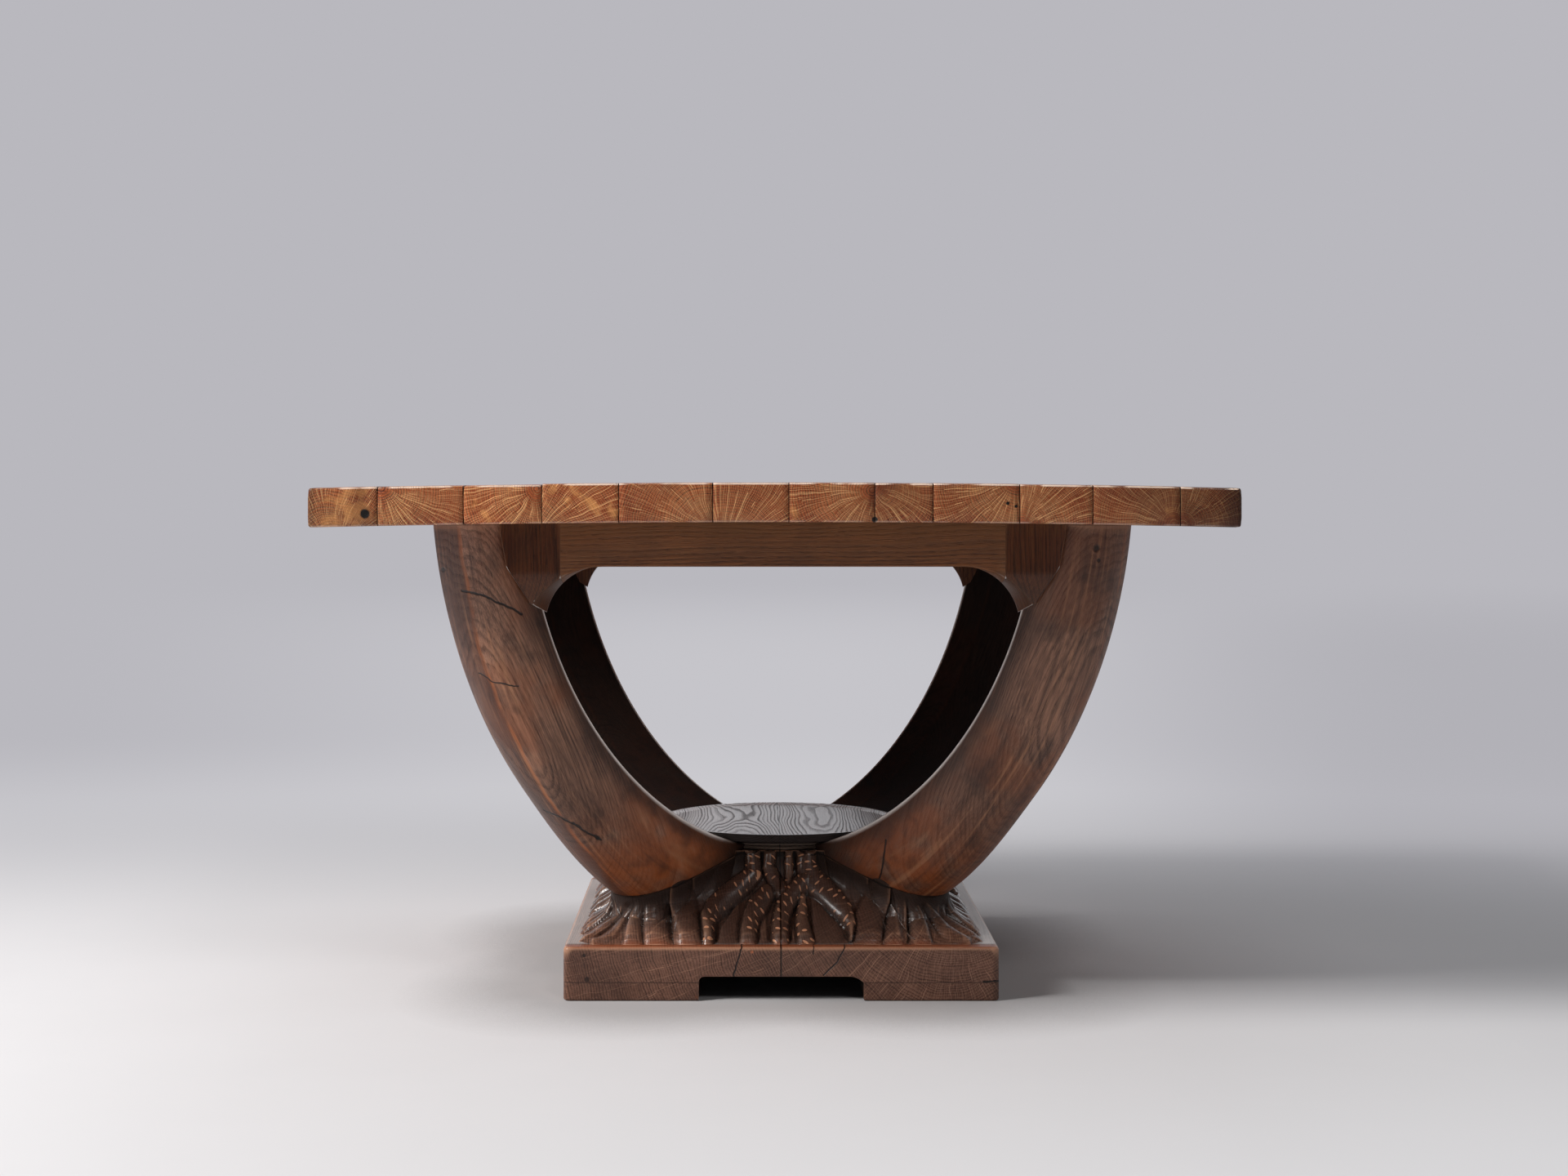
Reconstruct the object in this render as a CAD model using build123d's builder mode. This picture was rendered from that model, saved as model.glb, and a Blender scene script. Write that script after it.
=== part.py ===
from build123d import *
import math
import os

os.makedirs("parts", exist_ok=True)

# Square centre table in oak, in millimetres, +Z up, front towards -Y.
# The origin is on the floor under the middle of the top.

# Plank top: boards run front to back and are joined edge to edge.
board_widths = (94, 115, 105, 103, 126, 102, 115, 78, 116, 98, 117, 83)
table_height = 760
top_depth = 1252
board_thick = 54
top_crown = 7
top_arris = 4
top_corner = 15
spline_thick = 10
spline_width = 24
spline_stop = 60
spline_room = 1

# The frame stands a little to the right of the middle of the top.
frame_x = 13

# Legs: a D-shaped section that follows an elliptical arch in the diagonal plane.
arch_centre_r = 5
arch_centre_z = 782
arch_half_width = 580
arch_half_height = 594
leg_half_width = 75
leg_hollow = 5
leg_depth_top = 85
leg_depth_foot = 141
leg_swell = 1.83
leg_fullness = 0.7
leg_first_slope = 2
leg_last_slope = 80
leg_sections = 9
scribe_gap = 0.3

# Aprons and their knee blocks, between the legs under the top.
apron_proud = 17
apron_thick = 45
apron_depth = 64
knee_length = 46
arch_lead = 60
arch_radius_front = 120
arch_radius_back = 84
knee_lap = 37
knee_drop_front = 54
knee_drop_back = 67
tenon_length = 30
tenon_thick = 14
tenon_inset = 6
tenon_height = 42
knee_dowel_r = 6
knee_dowel_length = 60
knee_dowel_inset = 30
knee_dowel_drops = (18, 48)
dowel_gap = 0.3

# Wooden buttons that hold the top down on the aprons.
button_length = 45
button_width = 30
button_height = 24
button_reach = 180
button_tongue = 7
groove_height = 10
screw_r = 2.5
screw_head_r = 5
screw_head_height = 4
screw_length = 38
screw_from_apron = 16

# Plinth: four corner feet under a slab made of two halves.
plinth_width = 640
plinth_corner = 10
plinth_arris = 5
foot_height = 27
slab_thick = 52
channel_width = 242
channel_depth = 9
channel_radius = 8
foot_arris = 2
foot_dowel_r = 8
foot_dowel_length = 36
foot_dowel_spacing = 90
half_dowel_r = 10
half_dowel_length = 110
half_dowel_spacing = 200
half_dowel_count = 3

# Carved mound on the slab: (height above the slab, half width, corner radius).
mound_steps = ((0, 304, 18), (9, 284, 30), (21, 265, 50), (46, 232, 60), (80, 197, 60), (120, 170, 50))
# Collars under the legs: (height above the slab, growth around the foot of the leg).
collar_steps = ((0, 45), (9, 26), (20, 10), (41, 0), (118, 0))
collar_r = 68
collar_centre_r = 259
hub_r = 150

# Joint between each leg and the mound, a plane that rises towards the axis.
seam_r = 330
seam_z = 143
seam_tilt = 17
leg_tenon_r = 255
leg_tenon_size = (52, 34, 88)

# Round tray between the legs, in two halves.
tray_r = 193
tray_rim = 12
tray_hollow = 3
tray_rim_width = 9
tray_moulding_r = 165
tray_moulding = 8
tray_neck_r = 140
tray_neck = 6
tray_edge = 2
tray_gap = 0.3
tray_dowel_r = 8
tray_dowel_length = 30
tray_dowel_circle = 95
tray_dowel_count = 4
tray_key_r = 4
tray_key_length = 60
tray_key_spacing = 110
tray_key_count = 3

# Lines and levels that follow from the sizes above.
top_length = sum(board_widths)
joints_x = [sum(board_widths[:count]) - top_length / 2 for count in range(len(board_widths) + 1)]
frame_top = table_height - board_thick
apron_under = frame_top - apron_depth
slab_top = foot_height + slab_thick
mound_top = slab_top + mound_steps[-1][0]
tray_under = mound_top + tray_neck
rim_under = tray_under + tray_moulding
tray_top = rim_under + tray_rim
leg_turns = {"back_right": 45, "back_left": 135, "front_left": 225, "front_right": 315}
sides = {
    "front": (270, ("left", "right")),
    "right": (0, ("front", "back")),
    "back": (90, ("right", "left")),
    "left": (180, ("back", "front")),
}
up = Vector(0, 0, 1)
frame_axis = Vector(frame_x, 0, 0)
centred_on_base = (Align.CENTER, Align.CENTER, Align.MIN)
outward_from_base = (Align.MIN, Align.CENTER, Align.MIN)
root_two = math.sqrt(2)


def finish(piece, name):
    """Name a finished piece and write it."""
    piece.part.label = name
    export_step(piece.part, f"parts/{name}.step")


def compass(turn):
    """Level direction at an angle around the frame's axis."""
    return Vector(math.cos(math.radians(turn)), math.sin(math.radians(turn)), 0)


def top_drop(x):
    """How far the top has sunk at x, from nothing in the middle to the full crown at its ends."""
    return top_crown * (2 * x / top_length) ** 2


def arch_r(height):
    """Distance from the axis to the inner side of a leg, along the diagonal, at a height."""
    rise = (arch_centre_z - height) / arch_half_height
    return arch_centre_r + arch_half_width * math.sqrt(1 - rise**2)


def leg_edge(height):
    """Distance along an apron from its middle to the near edge of the leg at a height."""
    return (arch_r(height) - leg_half_width) / root_two


def leg_plane(turn, slope):
    """Plane across a leg: X runs level across it, Y runs out through it, Z runs down the arch."""
    slope_cos = math.cos(math.radians(slope))
    slope_sin = math.sin(math.radians(slope))
    outward = compass(turn)
    across = compass(turn + 90)
    radius = arch_centre_r + arch_half_width * slope_cos
    height = arch_centre_z - arch_half_height * slope_sin
    through = outward * (slope_cos / arch_half_width) - up * (slope_sin / arch_half_height)
    origin = frame_axis + outward * radius + up * height
    return Plane(origin=origin, x_dir=across, z_dir=across.cross(through))


def leg_depth(slope):
    """Thickness of a leg from its hollow side to its back, at a slope of the arch."""
    share = (slope - leg_first_slope) / (leg_last_slope - leg_first_slope)
    return leg_depth_top + (leg_depth_foot - leg_depth_top) * share**leg_swell


def leg_profiles(turn, grow=0):
    """D-shaped sections of one leg, grown all round where they shape a tool for a scribed joint."""
    step = (leg_last_slope - leg_first_slope) / (leg_sections - 1)
    half = leg_half_width + grow
    profiles = []
    for count in range(leg_sections):
        slope = leg_first_slope + step * count
        with BuildSketch(leg_plane(turn, slope)) as profile:
            with BuildLine():
                back = leg_depth(slope) + grow
                shoulder = leg_fullness * back
                for hand in (-1, 1):
                    edge_x = hand * half
                    Bezier((edge_x, -grow), (edge_x, shoulder), (leg_fullness * edge_x, back), (0, back))
                ThreePointArc((-half, -grow), (0, leg_hollow - grow), (half, -grow))
            make_face()
        profiles.append(profile.sketch)
    return profiles


def seam_plane(turn, radius):
    """Plane of the joint under a leg, with its origin at a distance from the axis."""
    tilt = math.radians(seam_tilt)
    outward = compass(turn)
    origin = frame_axis + outward * radius + up * (seam_z + (seam_r - radius) * math.tan(tilt))
    normal = outward * math.sin(tilt) + up * math.cos(tilt)
    return Plane(origin=origin, x_dir=compass(turn + 90), z_dir=normal)


def diagonal_plane(turn, radius, height):
    """Level plane on a diagonal of the frame, with X pointing out."""
    return Plane(origin=frame_axis + compass(turn) * radius + up * height, x_dir=compass(turn), z_dir=up)


def side_plane(turn, distance, hand=1):
    """Upright plane facing out of one side of the frame, Y up, mirrored when hand is -1."""
    outward = compass(turn)
    origin = frame_axis + outward * distance
    return Plane(origin=origin, x_dir=up.cross(outward) * hand, z_dir=outward * hand)


apron_face = (arch_r(frame_top) + leg_half_width) / root_two + apron_proud
apron_back = apron_face - apron_thick
apron_end = leg_edge(frame_top) - knee_length
arch_x = apron_end - arch_lead
button_spots = []
for turn, _ in sides.values():
    for hand in (-1, 1):
        spot = compass(turn) * (apron_back - screw_from_apron) + compass(turn + 90) * (hand * button_reach)
        button_spots.append(frame_axis + spot)

# Space under the top, used to scribe the frame to the boards.
with BuildPart() as under_top:
    with BuildSketch(Plane.XZ):
        with BuildLine():
            underside = [(x, frame_top - top_drop(x)) for x in joints_x]
            Polyline(*underside, (joints_x[-1], 0), (joints_x[0], 0), close=True)
        make_face()
    extrude(amount=top_depth / 2, both=True)

# Boards of the top, from left to right, each with a stopped groove along its joints.
spline_length = top_depth - 2 * spline_stop
for index, left in enumerate(joints_x[:-1]):
    right = joints_x[index + 1]
    with BuildPart() as board:
        with BuildSketch(Plane.XZ):
            with BuildLine():
                low_left = (left, frame_top - top_drop(left))
                low_right = (right, frame_top - top_drop(right))
                high_right = (right, table_height - top_drop(right))
                high_left = (left, table_height - top_drop(left))
                Polyline(low_left, low_right, high_right, high_left, close=True)
            make_face()
        extrude(amount=top_depth / 2, both=True)
        if left == joints_x[0]:
            fillet(board.edges().filter_by(Axis.Z).group_by(Axis.X)[0], top_corner)
        if right == joints_x[-1]:
            fillet(board.edges().filter_by(Axis.Z).group_by(Axis.X)[-1], top_corner)
        broad_faces = board.faces().sort_by(Axis.Z)
        rims = broad_faces[0].edges() + broad_faces[-1].edges()
        inner_joints = joints_x[1:-1]
        free_rims = rims.filter_by(lambda rim: all(abs(rim.center().X - x) > top_arris for x in inner_joints))
        fillet(free_rims, top_arris)
        for joint in (left, right):
            if joint in inner_joints:
                middle = frame_top + board_thick / 2 - top_drop(joint)
                with Locations((joint, 0, middle)):
                    Box(spline_width + 2 * spline_room, spline_length, spline_thick, mode=Mode.SUBTRACT)
        for spot in button_spots:
            if left < spot.X < right:
                with Locations((spot.X, spot.Y, frame_top - button_height)):
                    Cylinder(screw_r + dowel_gap, screw_length + dowel_gap, align=centred_on_base, mode=Mode.SUBTRACT)
    finish(board, f"top_board_{index + 1:02d}")

# Loose splines between the boards.
with BuildPart() as splines:
    for joint in joints_x[1:-1]:
        with Locations((joint, 0, frame_top + board_thick / 2 - top_drop(joint))):
            Box(spline_width, spline_length, spline_thick)
finish(splines, "top_splines")

# Legs, cut off under the top, on the seam, and around the tray and the hub.
for name, turn in leg_turns.items():
    with BuildPart() as leg:
        loft(leg_profiles(turn))
        add(under_top.part, mode=Mode.INTERSECT)
        split(bisect_by=seam_plane(turn, seam_r), keep=Keep.TOP)
        hub_wall = Plane(origin=frame_axis + compass(turn) * hub_r, x_dir=compass(turn + 90), z_dir=compass(turn))
        split(bisect_by=hub_wall, keep=Keep.TOP)
        with Locations(frame_axis + up * (tray_under - tray_gap)):
            Cylinder(tray_r + tray_gap, table_height - tray_under, align=centred_on_base, mode=Mode.SUBTRACT)
        with Locations(seam_plane(turn, leg_tenon_r)):
            Box(leg_tenon_size[1], leg_tenon_size[0], leg_tenon_size[2] + 2 * dowel_gap, mode=Mode.SUBTRACT)
        for hand in (-1, 1):
            side_turn = turn - 45 * hand
            for drop in knee_dowel_drops:
                height = frame_top - drop
                reach = root_two * arch_r(height) - (apron_face - knee_dowel_inset)
                spot = side_plane(side_turn, apron_face - knee_dowel_inset, hand)
                hole_length = knee_dowel_length + 2 * dowel_gap
                with Locations(spot * Location((reach, height, 0), (0, 90, 0))):
                    Cylinder(knee_dowel_r + dowel_gap, hole_length, mode=Mode.SUBTRACT)
    finish(leg, f"leg_{name}")

# Loose tenons across the leg seams.
with BuildPart() as leg_tenons:
    for turn in leg_turns.values():
        with Locations(seam_plane(turn, leg_tenon_r)):
            Box(leg_tenon_size[1], leg_tenon_size[0], leg_tenon_size[2])
finish(leg_tenons, "leg_tenons")

# Aprons, sawn to the start of the arch at both ends, with a stub tenon and a groove for the buttons.
for name, (turn, _) in sides.items():
    with BuildPart() as apron:
        for distance, radius in ((apron_face, arch_radius_front), (apron_back, arch_radius_back)):
            with BuildSketch(side_plane(turn, distance)):
                with BuildLine():
                    swing = math.degrees(math.acos(arch_lead / radius))
                    centre_z = apron_under - radius
                    right_arch = CenterArc((arch_x, centre_z), radius, swing, 90 - swing)
                    left_arch = CenterArc((-arch_x, centre_z), radius, 90, 90 - swing)
                    Line(right_arch @ 1, left_arch @ 0)
                    Polyline(right_arch @ 0, (apron_end, frame_top), (-apron_end, frame_top), left_arch @ 1)
                make_face()
        loft(ruled=True)
        for hand in (-1, 1):
            tenon_place = side_plane(turn, apron_face - tenon_inset - tenon_thick / 2)
            tenon_x = hand * (apron_end + tenon_length / 2)
            tenon_z = (frame_top + apron_under) / 2
            with Locations(tenon_place * Location((tenon_x, tenon_z, 0))):
                Box(tenon_length, tenon_height, tenon_thick)
        groove_z = frame_top - button_height + groove_height / 2
        with Locations(side_plane(turn, apron_back) * Location((0, groove_z, 0))):
            Box(2 * apron_end, groove_height, 2 * (button_tongue + dowel_gap), mode=Mode.SUBTRACT)
        add(under_top.part, mode=Mode.INTERSECT)
    finish(apron, f"apron_{name}")

# Knee blocks, two to a side, scribed to the legs.
for side, (turn, ends) in sides.items():
    for hand, end in zip((-1, 1), ends):
        with BuildPart() as knee:
            planes = (
                (apron_face, arch_radius_front, knee_drop_front),
                (apron_back, arch_radius_back, knee_drop_back),
            )
            for distance, radius, knee_drop in planes:
                with BuildSketch(side_plane(turn, distance, hand)):
                    with BuildLine():
                        joint_angle = math.degrees(math.acos(arch_lead / radius))
                        tip_angle = math.degrees(math.asin((radius - knee_drop) / radius))
                        centre = (arch_x, apron_under - radius)
                        intrados = CenterArc(centre, radius, tip_angle, joint_angle - tip_angle)
                        shoulder = (leg_edge(apron_under) + knee_lap, apron_under)
                        top_outer = (leg_edge(frame_top) + knee_lap, frame_top)
                        top_inner = (apron_end, frame_top)
                        Polyline(intrados @ 0, shoulder, top_outer, top_inner, intrados @ 1)
                    make_face()
            loft(ruled=True)
            loft(leg_profiles(turn + 45 * hand, grow=scribe_gap), mode=Mode.SUBTRACT)
            add(under_top.part, mode=Mode.INTERSECT)
            mortise_place = side_plane(turn, apron_face - tenon_inset - tenon_thick / 2, hand)
            mortise_length = tenon_length + dowel_gap
            mortise_x = apron_end + mortise_length / 2
            mortise_z = (frame_top + apron_under) / 2
            with Locations(mortise_place * Location((mortise_x, mortise_z, 0))):
                Box(mortise_length, tenon_height, tenon_thick, mode=Mode.SUBTRACT)
            for drop in knee_dowel_drops:
                height = frame_top - drop
                reach = root_two * arch_r(height) - (apron_face - knee_dowel_inset)
                spot = side_plane(turn, apron_face - knee_dowel_inset, hand)
                hole_length = knee_dowel_length + 2 * dowel_gap
                with Locations(spot * Location((reach, height, 0), (0, 90, 0))):
                    Cylinder(knee_dowel_r + dowel_gap, hole_length, mode=Mode.SUBTRACT)
        finish(knee, f"knee_{side}_{end}")

# Dowels between the knee blocks and the legs.
with BuildPart() as knee_dowels:
    for turn, _ in sides.values():
        for hand in (-1, 1):
            for drop in knee_dowel_drops:
                height = frame_top - drop
                reach = root_two * arch_r(height) - (apron_face - knee_dowel_inset)
                spot = side_plane(turn, apron_face - knee_dowel_inset, hand)
                with Locations(spot * Location((reach, height, 0), (0, 90, 0))):
                    Cylinder(knee_dowel_r, knee_dowel_length)
finish(knee_dowels, "knee_dowels")

# Buttons, each with a tongue in the groove of its apron and a screw up into the top.
with BuildPart() as buttons:
    for turn, _ in sides.values():
        for hand in (-1, 1):
            place = side_plane(turn, apron_back)
            with Locations(place * Location((hand * button_reach, frame_top, 0))):
                Box(button_length, button_height, button_width, align=(Align.CENTER, Align.MAX, Align.MAX))
            with Locations(place * Location((hand * button_reach, frame_top - button_height, 0))):
                Box(button_length, groove_height, button_tongue, align=(Align.CENTER, Align.MIN, Align.MIN))
    for spot in button_spots:
        with Locations(Location(spot + up * (frame_top - button_height))):
            Cylinder(screw_r + dowel_gap, button_height, align=centred_on_base, mode=Mode.SUBTRACT)
    add(under_top.part, mode=Mode.INTERSECT)
finish(buttons, "top_buttons")

with BuildPart() as screws:
    for spot in button_spots:
        with Locations(Location(spot + up * (frame_top - button_height))):
            Cylinder(screw_r, screw_length, align=centred_on_base)
            Cylinder(screw_head_r, screw_head_height, align=(Align.CENTER, Align.CENTER, Align.MAX))
finish(screws, "top_button_screws")

# Corner feet of the plinth.
foot_width = (plinth_width - channel_width) / 2
foot_r = (channel_width + foot_width) / root_two
for name, turn in leg_turns.items():
    with BuildPart() as foot:
        corner = frame_axis + compass(turn) * foot_r
        with Locations(corner):
            Box(foot_width, foot_width, foot_height, align=centred_on_base)
        outer_edge = foot.edges().filter_by(Axis.Z).sort_by(lambda edge: (edge.center() - frame_axis).length)[-1]
        fillet(outer_edge, plinth_corner)
        chamfer(foot.faces().sort_by(Axis.Z)[0].edges(), foot_arris)
        with Locations(corner + up * foot_height):
            with GridLocations(foot_dowel_spacing, foot_dowel_spacing, 2, 1):
                Cylinder(foot_dowel_r + dowel_gap, foot_dowel_length + 2 * dowel_gap, mode=Mode.SUBTRACT)
    finish(foot, f"foot_{name}")

with BuildPart() as foot_dowels:
    for turn in leg_turns.values():
        with Locations(frame_axis + compass(turn) * foot_r + up * foot_height):
            with GridLocations(foot_dowel_spacing, foot_dowel_spacing, 2, 1):
                Cylinder(foot_dowel_r, foot_dowel_length)
finish(foot_dowels, "foot_dowels")

# Room that each leg takes out of the mound: a slot above its seam.
leg_pockets = []
for turn in leg_turns.values():
    with BuildPart() as pocket:
        with Locations(diagonal_plane(turn, hub_r, slab_top)):
            Box(plinth_width, 2 * (leg_half_width + scribe_gap), mound_top, align=outward_from_base)
        split(bisect_by=seam_plane(turn, seam_r), keep=Keep.TOP)
    leg_pockets.append(pocket.part)

# The carved base: slab, mound and collars are one block, glued up from two halves.
half_dowel_z = foot_height + (slab_thick + channel_depth) / 2
with BuildPart() as carved_base:
    with Locations(frame_axis + up * foot_height):
        Box(plinth_width, plinth_width, slab_thick, align=centred_on_base)
    fillet(carved_base.edges().filter_by(Axis.Z), plinth_corner)
    fillet(carved_base.faces().sort_by(Axis.Z)[-1].edges(), plinth_arris)
    for rise, half, radius in mound_steps:
        with BuildSketch(Plane(origin=frame_axis + up * (slab_top + rise))):
            RectangleRounded(2 * half, 2 * half, radius)
    loft(ruled=True)
    for turn in leg_turns.values():
        for rise, growth in collar_steps:
            with BuildSketch(diagonal_plane(turn, collar_centre_r / 2, slab_top + rise)):
                SlotCenterToCenter(collar_centre_r, 2 * (collar_r + growth))
        loft(ruled=True)
    for pocket in leg_pockets:
        add(pocket, mode=Mode.SUBTRACT)
    for turn in leg_turns.values():
        with Locations(seam_plane(turn, leg_tenon_r)):
            Box(leg_tenon_size[1], leg_tenon_size[0], leg_tenon_size[2] + 2 * dowel_gap, mode=Mode.SUBTRACT)
        with Locations(frame_axis + compass(turn) * foot_r + up * foot_height):
            with GridLocations(foot_dowel_spacing, foot_dowel_spacing, 2, 1):
                Cylinder(foot_dowel_r + dowel_gap, foot_dowel_length + 2 * dowel_gap, mode=Mode.SUBTRACT)
    for turn in (0, 90):
        with BuildSketch(side_plane(turn, 0)) as channel:
            with Locations((0, foot_height)):
                Rectangle(channel_width, 2 * channel_depth)
            fillet(channel.vertices().group_by(Axis.Y)[-1], channel_radius)
        extrude(amount=plinth_width, both=True, mode=Mode.SUBTRACT)
    with Locations(frame_axis + up * mound_top):
        with PolarLocations(tray_dowel_circle, tray_dowel_count, start_angle=45):
            Cylinder(tray_dowel_r + dowel_gap, tray_dowel_length + 2 * dowel_gap, mode=Mode.SUBTRACT)
    with Locations(Location(frame_axis + up * half_dowel_z, (0, 90, 0))):
        with GridLocations(half_dowel_spacing, half_dowel_spacing, 1, half_dowel_count):
            Cylinder(half_dowel_r + dowel_gap, half_dowel_length + 2 * dowel_gap, mode=Mode.SUBTRACT)

middle_joint = Plane(origin=frame_axis, x_dir=(0, 1, 0), z_dir=(1, 0, 0))
for name, keep in (("left", Keep.BOTTOM), ("right", Keep.TOP)):
    with BuildPart() as base_half:
        add(carved_base.part)
        split(bisect_by=middle_joint, keep=keep)
    finish(base_half, f"base_{name}")

with BuildPart() as base_dowels:
    with Locations(Location(frame_axis + up * half_dowel_z, (0, 90, 0))):
        with GridLocations(half_dowel_spacing, half_dowel_spacing, 1, half_dowel_count):
            Cylinder(half_dowel_r, half_dowel_length)
finish(base_dowels, "base_dowels")

# Turned tray in two halves: a hollowed disc on a moulding and a neck.
tray_key_z = rim_under + (tray_rim - tray_hollow) / 2
with BuildPart() as whole_tray:
    with BuildSketch(Plane(origin=frame_axis, x_dir=(1, 0, 0), z_dir=(0, -1, 0))):
        with BuildLine():
            Polyline(
                (0, mound_top),
                (tray_neck_r, mound_top),
                (tray_neck_r, tray_under),
                (tray_moulding_r, tray_under),
                (tray_moulding_r + tray_moulding, rim_under),
                (tray_r - tray_edge, rim_under),
                (tray_r, rim_under + tray_edge),
                (tray_r, tray_top - tray_edge),
                (tray_r - tray_edge, tray_top),
                (tray_r - tray_rim_width, tray_top),
                (tray_r - 2 * tray_rim_width, tray_top - tray_hollow),
                (0, tray_top - tray_hollow),
                close=True,
            )
        make_face()
    revolve(axis=Axis(frame_axis, up))
    with Locations(frame_axis + up * mound_top):
        with PolarLocations(tray_dowel_circle, tray_dowel_count, start_angle=45):
            Cylinder(tray_dowel_r + dowel_gap, tray_dowel_length + 2 * dowel_gap, mode=Mode.SUBTRACT)
    with Locations(Location(frame_axis + up * tray_key_z, (0, 90, 0))):
        with GridLocations(tray_key_spacing, tray_key_spacing, 1, tray_key_count):
            Cylinder(tray_key_r + dowel_gap, tray_key_length + 2 * dowel_gap, mode=Mode.SUBTRACT)

for name, keep in (("left", Keep.BOTTOM), ("right", Keep.TOP)):
    with BuildPart() as tray_half:
        add(whole_tray.part)
        split(bisect_by=middle_joint, keep=keep)
    finish(tray_half, f"tray_{name}")

with BuildPart() as tray_dowels:
    with Locations(frame_axis + up * mound_top):
        with PolarLocations(tray_dowel_circle, tray_dowel_count, start_angle=45):
            Cylinder(tray_dowel_r, tray_dowel_length)
finish(tray_dowels, "tray_dowels")

with BuildPart() as tray_keys:
    with Locations(Location(frame_axis + up * tray_key_z, (0, 90, 0))):
        with GridLocations(tray_key_spacing, tray_key_spacing, 1, tray_key_count):
            Cylinder(tray_key_r, tray_key_length)
finish(tray_keys, "tray_keys")
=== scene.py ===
import bmesh
import bpy
import math
import numpy as np
from mathutils import Matrix, Vector, noise


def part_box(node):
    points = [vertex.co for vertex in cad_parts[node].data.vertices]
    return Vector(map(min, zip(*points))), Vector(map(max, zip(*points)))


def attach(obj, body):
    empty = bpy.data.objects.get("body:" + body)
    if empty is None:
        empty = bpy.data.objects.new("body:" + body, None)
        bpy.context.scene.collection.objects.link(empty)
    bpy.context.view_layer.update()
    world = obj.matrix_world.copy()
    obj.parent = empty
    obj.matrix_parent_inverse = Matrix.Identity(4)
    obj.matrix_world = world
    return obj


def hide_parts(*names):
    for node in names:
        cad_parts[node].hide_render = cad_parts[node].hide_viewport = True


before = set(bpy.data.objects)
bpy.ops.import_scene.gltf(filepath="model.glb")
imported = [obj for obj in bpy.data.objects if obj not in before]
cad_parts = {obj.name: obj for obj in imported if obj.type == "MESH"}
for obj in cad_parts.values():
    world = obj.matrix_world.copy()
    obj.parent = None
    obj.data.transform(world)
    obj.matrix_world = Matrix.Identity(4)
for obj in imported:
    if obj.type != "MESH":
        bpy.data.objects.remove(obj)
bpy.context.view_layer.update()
MM = 0.001


# ---- Studio -------------------------------------------------------------------------------
# A pale floor under a grey backdrop, one large soft lamp high on the left, and weaker
# ones behind, in front and on the right. The floor's colour carries painted light: it is
# painted lighter near the table, with painted shade close to the base and a painted lighter
# patch at the front right, and far off it glows as a painted backdrop. The camera stands
# level, at the height of the top.

camera_data = bpy.data.cameras.new("camera")
camera_data.lens = 55.05
camera_data.sensor_width = 36
camera_data.shift_x = 0.0235
camera_data.shift_y = -0.0635
camera = bpy.data.objects.new("camera", camera_data)
camera.location = (-0.037, -3.835, 0.7517)
camera.rotation_euler = (math.radians(90), 0, 0)
bpy.context.scene.collection.objects.link(camera)
bpy.context.scene.camera = camera
bpy.context.scene.view_settings.view_transform = "Standard"

# Each lamp's name, place, the height it aims at, its side, its watts and its colour.
lamps = (
    ("key_lamp", (-4.7, -2.2, 4.1), 0.3, 1.8, 432, (1, 0.985, 0.97)),
    ("top_lamp", (0.2, 1.9, 3.2), 0.3, 1.4, 14, (0.97, 0.98, 1)),
    ("front_lamp", (1.4, -3.9, 4.0), 0.3, 1.0, 32, (1, 0.99, 0.98)),
    ("right_lamp", (3.4, 0.8, 1.6), 0.45, 0.9, 10, (0.95, 0.97, 1)),
)
for name, place, aim, side, watts, colour in lamps:
    lamp = bpy.data.lights.new(name, "AREA")
    lamp.shape = "SQUARE"
    lamp.size = side
    lamp.energy = watts
    lamp.color = colour
    lit = bpy.data.objects.new(name, lamp)
    lit.location = place
    lit.rotation_euler = (Vector((0, 0, aim)) - Vector(place)).to_track_quat("-Z", "Y").to_euler()
    bpy.context.scene.collection.objects.link(lit)


def paint(red, green, blue):
    """A colour written as it looks on a screen, as the shader needs it."""
    shares = [part / 255 for part in (red, green, blue)]
    light = [part / 12.92 if part < 0.04045 else ((part + 0.055) / 1.055) ** 2.4 for part in shares]
    return (*light, 1)


class Wire:
    """What a shader node gives, as a term that can stand in a sum."""

    def __init__(self, finish, socket):
        self.finish = finish
        self.socket = socket

    def __add__(self, other):
        return self.finish.maths("ADD", self, other)

    def __sub__(self, other):
        return self.finish.maths("SUBTRACT", self, other)

    def __rsub__(self, other):
        return self.finish.maths("SUBTRACT", other, self)

    def __mul__(self, other):
        return self.finish.maths("MULTIPLY", self, other)

    def __truediv__(self, other):
        return self.finish.maths("DIVIDE", self, other)

    def __pow__(self, other):
        return self.finish.maths("POWER", self, other)

    def __abs__(self):
        return self.finish.maths("ABSOLUTE", self)

    def step(self, low, high):
        """Rises smoothly from 0 at low to 1 at high."""
        limits = {"Value": self, "From Min": low, "From Max": high}
        return self.finish.node("ShaderNodeMapRange", {"interpolation_type": "SMOOTHSTEP"}, limits)

    def fall(self, low, high):
        """Falls smoothly from 1 at low to 0 at high."""
        return 1 - self.step(low, high)

    __radd__ = __add__
    __rmul__ = __mul__


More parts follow.
